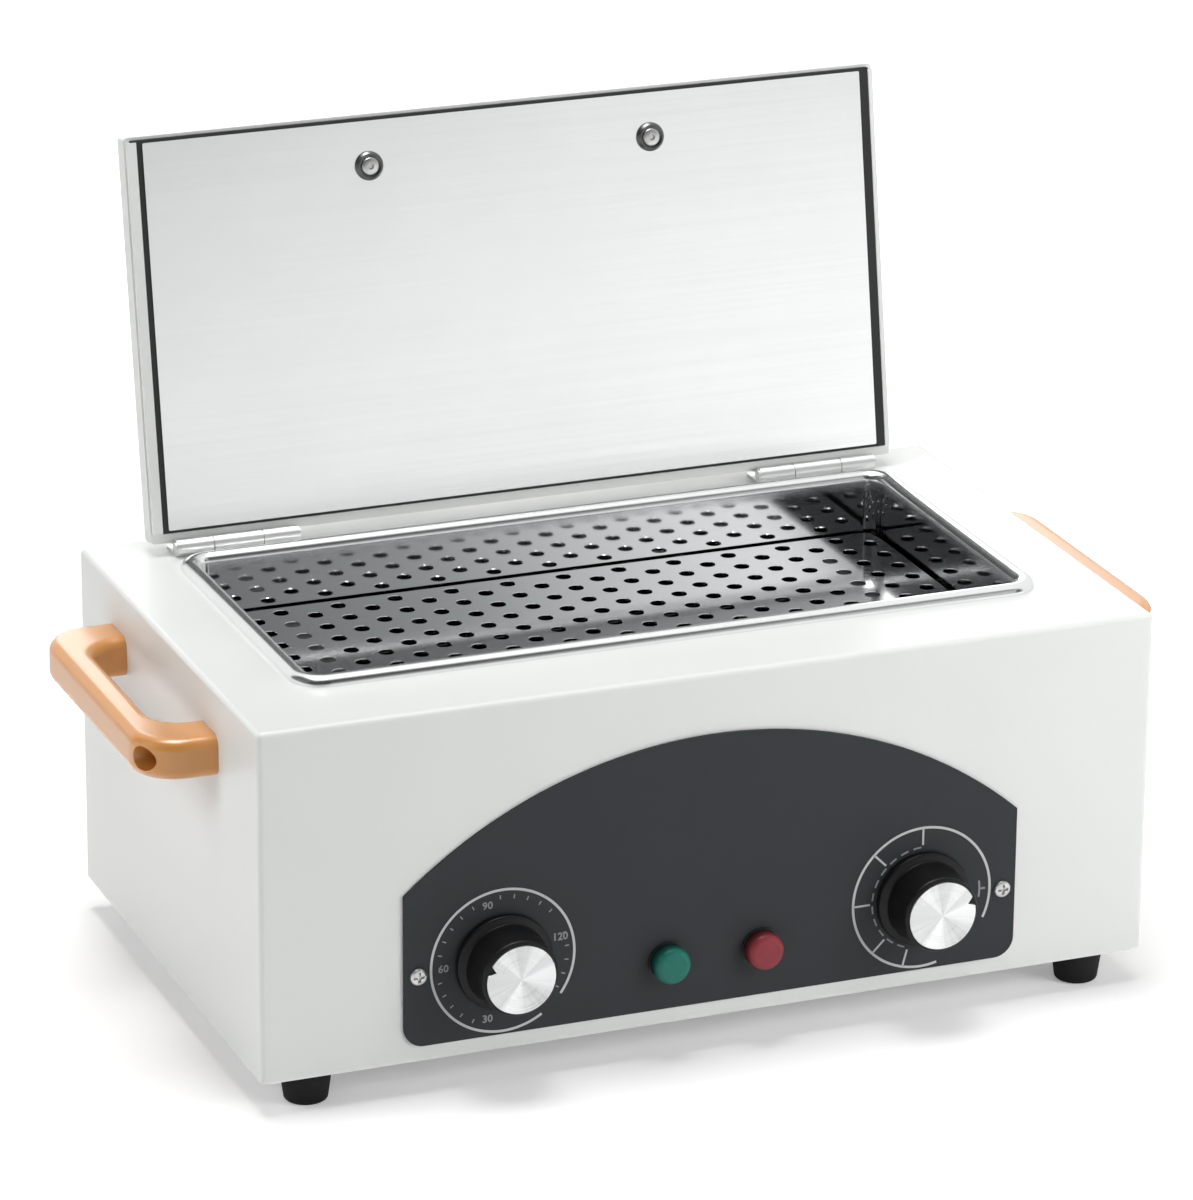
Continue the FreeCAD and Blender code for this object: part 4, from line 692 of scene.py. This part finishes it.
def spun_face():
    """Fine circular grooves: the normal leans along the radius by a share that changes from groove to groove,
    so that light spreads into wedges. The axis runs front to back. A second output, a tone that changes
    around the axis, serves as painted sheen in wedges."""
    inputs = [("Centre", "Vector", (0.0, 0.0, 0.0)), ("Lean", "Float", 0.2), ("Grooves", "Float", 9000.0)]
    tree, given, out = node_group("spun_face", inputs, [("Normal", "Vector"), ("Painted sheen", "Float")])
    away = vector_sums(tree, "SUBTRACT", here(tree), given["Centre"])[0]
    level = vector_sums(tree, "MULTIPLY", away, (1, 0, 1))[0]
    radius = vector_sums(tree, "LENGTH", level)["Value"]
    number = sums(tree, "FLOOR", sums(tree, "MULTIPLY", radius, given["Grooves"]))
    chance = add(tree, "TexWhiteNoise", noise_dimensions="1D")
    feed_all(tree, chance, W=number)
    share = sums(tree, "MULTIPLY", sums(tree, "SUBTRACT", chance.outputs["Value"], 0.5), given["Lean"])
    outward = vector_sums(tree, "NORMALIZE", level)[0]
    # Tone that changes around the axis, used as painted sheen
    feed(tree, out["Painted sheen"], noise(tree, outward, PAINTED_SHEEN_SCALE, 3))
    world = add(tree, "VectorTransform", vector_type="VECTOR", convert_from="OBJECT", convert_to="WORLD")
    feed_all(tree, world, Vector=scaled(tree, outward, share))
    plain = add(tree, "NewGeometry").outputs["Normal"]
    leaning = vector_sums(tree, "ADD", plain, world.outputs[0])[0]
    feed(tree, out["Normal"], vector_sums(tree, "NORMALIZE", leaning)[0])
    return tree


GRAIN = fine_grain()
PATCHES = soft_patches()
LINES = rolled_lines()
SPUN = spun_face()


# Finishes

def material(name, **constants):
    """Material with one Principled shader and its constant values."""
    made = bpy.data.materials.new(name)
    made.use_nodes = True
    shader = made.node_tree.nodes["Principled BSDF"]
    feed_all(made.node_tree, shader, **constants)
    return made, made.node_tree, shader


def place_group(tree, group, **values):
    """Outputs of a shader node group with its own values."""
    node = add(tree, "Group", node_tree=group)
    feed_all(tree, node, **values)
    return node.outputs


def painted(name, colour, roughness, scale=700, depth=0.06, drift=0.02, **constants):
    """Coat of paint or moulded plastic: broad tone, small grain."""
    made, tree, shader = material(name, **constants)
    tone = place_group(tree, PATCHES, Colour=(*colour, 1), Colour_drift=drift, Roughness=roughness,
                       Roughness_drift=PAINT_UNEVEN)
    grain = place_group(tree, GRAIN, Scale=scale, Depth=depth)
    feed_all(tree, shader, Base_Color=tone["Colour"], Roughness=tone["Roughness"], Normal=grain["Normal"])
    return made


def bright(name, colour, roughness, stretch=ROLLED, drift=0.1, depth=0.05):
    """Bare metal with fine lines along one direction."""
    made, tree, shader = material(name, Metallic=1.0)
    tone = place_group(tree, PATCHES, Colour=(*colour, 1), Colour_drift=METAL_UNEVEN)
    lines = place_group(tree, LINES, Stretch=stretch, Roughness=roughness, Roughness_drift=drift, Depth=depth)
    feed_all(tree, shader, Base_Color=tone["Colour"], Roughness=lines["Roughness"], Normal=lines["Normal"])
    return made


def lens(name, colour):
    """Coloured cap of a lamp: its colour is painted darker on its side toward the panel, a painted shade."""
    made, tree, shader = material(name, Roughness=0.35, Specular_IOR_Level=0.3)
    low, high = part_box(f"lamp_{name}")
    tone = place_group(tree, PATCHES, Colour=(*colour, 1), Colour_drift=0.25, Scale=260.0)
    depth = parts_of(tree, here(tree))["Y"]
    # Painted shade: the colour falls toward the panel
    share = carried(tree, depth, (high.y, low.y), (LENS_SIDE_PAINTED_SHADE, 1), "SMOOTHSTEP")
    feed_all(tree, shader, Base_Color=scaled(tree, tone["Colour"], share))
    return made


def tank_finish():
    """Polished sheet with a satin bead; below the tray its colour is painted dark, a painted shade."""
    made, tree, shader = material("tank_steel", Metallic=1.0)
    height = parts_of(tree, here(tree))["Z"]
    crown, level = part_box("chamber_tank")[1].z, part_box("perforated_tray")[0].z
    tone = place_group(tree, PATCHES, Colour=(*TANK_COLOUR, 1), Colour_drift=0.05)
    satin = carried(tree, height, (crown - 2 * BEAD, crown - BEAD), (TANK_POLISH, BEAD_POLISH))
    lines = place_group(tree, LINES, Stretch=ROLLED, Roughness=satin, Roughness_drift=0.03, Depth=0.005)
    # Painted shade: the colour darkens below the level of the tray
    share = carried(tree, height, (level - UNDER_TRAY_SHADE_FADE, level), (UNDER_TRAY_SHADE_SHARE, 1), "SMOOTHSTEP")
    feed_all(tree, shader, Base_Color=scaled(tree, tone["Colour"], share), Roughness=lines["Roughness"],
             Normal=lines["Normal"])
    return made


def spun(name, colour, roughness, node):
    """Turned aluminium whose grooves run round the middle of one knob; its colour is lighter and darker in
    wedges about the middle, a painted sheen.
    """
    made, tree, shader = material(name, Metallic=1.0, Roughness=roughness)
    low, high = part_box(node)
    middle = ((low.x + high.x) / 2, 0, (low.z + high.z) / 2)
    tone = place_group(tree, PATCHES, Colour=(*colour, 1), Colour_drift=0.05, Scale=90.0)
    grooves = place_group(tree, SPUN, Centre=middle, Lean=GROOVE_LEAN)
    # Painted sheen: the colour grows lighter and darker in wedges around the middle
    share = carried(tree, grooves["Painted sheen"], PAINTED_SHEEN_BAND, PAINTED_SHEEN_TONE)
    feed_all(tree, shader, Base_Color=scaled(tree, tone["Colour"], share), Normal=grooves["Normal"])
    return made


FINISH = {
    "case_paint": painted("case_paint", WHITE, 0.34),
    "lid_paint": painted("lid_paint", WHITE, 0.34),
    "panel_paint": painted("panel_paint", (0.030, 0.034, 0.037), 0.5, scale=1400, depth=0.05,
                           Specular_IOR_Level=0.25),
    "dial_print": painted("dial_print", (0.56, 0.57, 0.57), 0.5, scale=1400, drift=0.3),
    "dial_faint": painted("dial_faint", (0.27, 0.275, 0.28), 0.5, scale=1400, drift=0.4),
    "tank_steel": tank_finish(),
    "liner_steel": bright("liner_steel", (0.86, 0.87, 0.87), 0.24, stretch=ROLLED_WIDE),
    "tray_steel": bright("tray_steel", (0.80, 0.81, 0.82), 0.11, stretch=ROLLED_WIDE, drift=0.06,
                         depth=0.008),
    # Nearly black metal of the tray's legs: painted shade below the tray
    "leg_steel_painted_shade": bright("leg_steel_painted_shade", (0.05, 0.05, 0.05), 0.4, stretch=ALL_WAYS),
    "zinc_steel": bright("zinc_steel", (0.86, 0.87, 0.86), 0.45, stretch=(200.0, 200.0, 200.0)),
    "screw_steel": bright("screw_steel", (0.66, 0.66, 0.65), 0.36, stretch=ALL_WAYS),
    "washer_steel": bright("washer_steel", (0.14, 0.145, 0.145), 0.34, stretch=ALL_WAYS),
    "foot_rubber": painted("foot_rubber", (0.008, 0.008, 0.008), 0.7, scale=1800, depth=0.1,
                           Specular_IOR_Level=0.3),
    "seal_rubber": painted("seal_rubber", (0.02, 0.02, 0.021), 0.6, scale=1800, depth=0.1),
    "handle_plastic": painted("handle_plastic", (0.66, 0.28, 0.06), 0.34, scale=900, depth=0.05, drift=0.12,
                              Coat_Weight=1.0, Coat_Roughness=0.2),
    "knob_plastic": painted("knob_plastic", (0.004, 0.004, 0.0045), 0.42, scale=1600, depth=0.05,
                            Specular_IOR_Level=0.3),
    "timer_cap": spun("timer_cap", (0.80, 0.805, 0.81), 0.24, "timer_knob"),
    "heat_cap": spun("heat_cap", (0.83, 0.835, 0.835), 0.24, "heat_knob"),
    "knob_metal": bright("knob_metal", (0.86, 0.86, 0.86), 0.22, stretch=ALL_WAYS),
    "lamp_plastic": painted("lamp_plastic", (0.012, 0.014, 0.014), 0.35, scale=1600),
    "lens_green": lens("lens_green", (0.012, 0.155, 0.118)),
    "lens_red": lens("lens_red", (0.26, 0.035, 0.045)),
    "control_metal": bright("control_metal", (0.6, 0.6, 0.6), 0.4, stretch=(300.0, 300.0, 300.0)),
    "wool": painted("wool", (0.72, 0.66, 0.42), 0.9, scale=300, depth=0.8, drift=0.3),
    "copper": bright("copper", (0.75, 0.4, 0.25), 0.3, stretch=(300.0, 300.0, 300.0)),
    "ceramic": painted("ceramic", (0.75, 0.72, 0.66), 0.5, scale=900, depth=0.1),
    "inlet_plastic": painted("inlet_plastic", (0.02, 0.02, 0.02), 0.4, scale=1600),
}

# The tray's legs stand below the tray, where the tank's colour is painted dark, and take a nearly black
# finish: painted shade
UNDER_TRAY = {"tray_legs": "leg_steel_painted_shade"}


def dress_frame():
    """Every node of the frame takes the finish of its slot."""
    slots = {part["node"]: part["material_slot"] for part in frame["record"]["subparts"]}
    for name, item in frame["nodes"].items():
        item.data.materials.clear()
        item.data.materials.append(FINISH[UNDER_TRAY.get(name, slots[name])])


# Studio

def studio():
    """Pale floor, screens that only mirrored rays see, a pale world, soft lamps and the camera."""
    bpy.context.scene.view_settings.view_transform = "Standard"
    sheet("floor", FLOOR, floor_white())
    for name, corners in SCREENS.items():
        screen = sheet(name, corners, glow_tone() if name == "low_screen" else screen_tone())
        screen.visible_camera = False
        screen.visible_diffuse = False
        screen.visible_transmission = False
        screen.visible_shadow = False
    pale_world()
    for name, (place, side, power, mirrored) in LAMPS.items():
        soft_lamp(name, place, side, power, mirrored)
    camera()


def pale_world():
    """World that is white to the camera and in metal, and a low light on everything else."""
    made = bpy.data.worlds.new("world")
    made.use_nodes = True
    tree = made.node_tree
    path = add(tree, "LightPath").outputs
    seen = sums(tree, "MAXIMUM", path["Is Camera Ray"], path["Is Glossy Ray"])
    level = carried(tree, seen, (0, 1), (WORLD_LIGHT, 1))
    feed_all(tree, tree.nodes["Background"], Color=WORLD_WHITE, Strength=level)
    bpy.context.scene.world = made


def sheet(name, corners, made):
    """Single flat quad of the studio."""
    mesh = bpy.data.meshes.new(name)
    mesh.from_pydata(corners, [], [(0, 1, 2, 3)])
    mesh.materials.append(made)
    item = bpy.data.objects.new(name, mesh)
    bpy.context.scene.collection.objects.link(item)
    return item


def glowing(name):
    """Material with plain light in place of the Principled shader."""
    made = bpy.data.materials.new(name)
    made.use_nodes = True
    tree = made.node_tree
    tree.nodes.remove(tree.nodes["Principled BSDF"])
    light = add(tree, "Emission")
    tree.links.new(light.outputs[0], tree.nodes["Material Output"].inputs["Surface"])
    return made, tree, light


def screen_tone():
    """Light of a high screen: it grows toward the right up to a slanting edge, past which it is dark."""
    made, tree, light = glowing("screen_tone")
    spot = parts_of(tree, here(tree))
    slant = sums(tree, "MULTIPLY_ADD", spot["Z"], SCREEN_SLANT, spot["X"])
    ramp = add(tree, "ValToRGB")
    feed_all(tree, ramp, Fac=carried(tree, slant, SCREEN_BAND, (0, 1)))
    steps = ramp.color_ramp.elements
    steps.remove(steps[1])
    steps[0].position, steps[0].color = SCREEN_STEPS[0][0], (*SCREEN_STEPS[0][1], 1)
    for position, tone in SCREEN_STEPS[1:]:
        steps.new(position).color = (*tone, 1)
    feed_all(tree, light, Color=ramp.outputs["Color"])
    return made


def glow_tone():
    """Light of the low screen: it grows evenly toward the right and downward."""
    made, tree, light = glowing("glow_tone")
    slope = vector_sums(tree, "DOT_PRODUCT", here(tree), GLOW_WAY)["Value"]
    feed_all(tree, light, Strength=carried(tree, slope, GLOW_BAND, GLOW_LIGHT))
    return made


def floor_white():
    """Floor that stays white to the camera and keeps the shadow of the object."""
    made, tree, shader = material("floor_white", Roughness=0.9, Specular_IOR_Level=0.0)
    away = vector_sums(tree, "LENGTH", here(tree))["Value"]
    lift = carried(tree, away, FLOOR_BAND, FLOOR_LIFT, "SMOOTHSTEP")
    level = sums(tree, "MULTIPLY", add(tree, "LightPath").outputs["Is Camera Ray"], lift)
    feed_all(tree, shader, Base_Color=(0.93, 0.93, 0.93, 1), Emission_Color=(1, 1, 1, 1),
             Emission_Strength=level)
    return made


def soft_lamp(name, place, side, power, mirrored):
    """Square area lamp that looks at the middle of the object."""
    light = bpy.data.lights.new(name, "AREA")
    light.size = side
    light.energy = power
    item = bpy.data.objects.new(name, light)
    item.location = place
    item.rotation_euler = (Vector(LAMP_AIM) - Vector(place)).to_track_quat("-Z", "Y").to_euler()
    item.visible_glossy = mirrored
    bpy.context.scene.collection.objects.link(item)


def camera():
    """Camera at the photograph's viewing angle."""
    eye = bpy.data.cameras.new("camera")
    eye.lens = EYE_LENS
    eye.sensor_width = EYE_SENSOR
    eye.shift_x, eye.shift_y = EYE_SHIFT
    eye.clip_end = EYE_FAR
    item = bpy.data.objects.new("camera", eye)
    item.location = EYE_PLACE
    item.rotation_euler = EYE_TURN
    bpy.context.scene.collection.objects.link(item)
    bpy.context.scene.camera = item


def build():
    """Every piece of the looks."""
    dress_frame()
    tank()
    tray()
    knob("timer", TIMER_MARK)
    knob("heat", HEAT_MARK)
    timer_prints()
    heat_prints()
    panel_screws()
    liner_screws()
    lid_strips()
    for colour in ("green", "red"):
        lamp(colour)
    for name in ("front_left", "front_right", "rear_left", "rear_right"):
        foot(name)
    studio()


build()
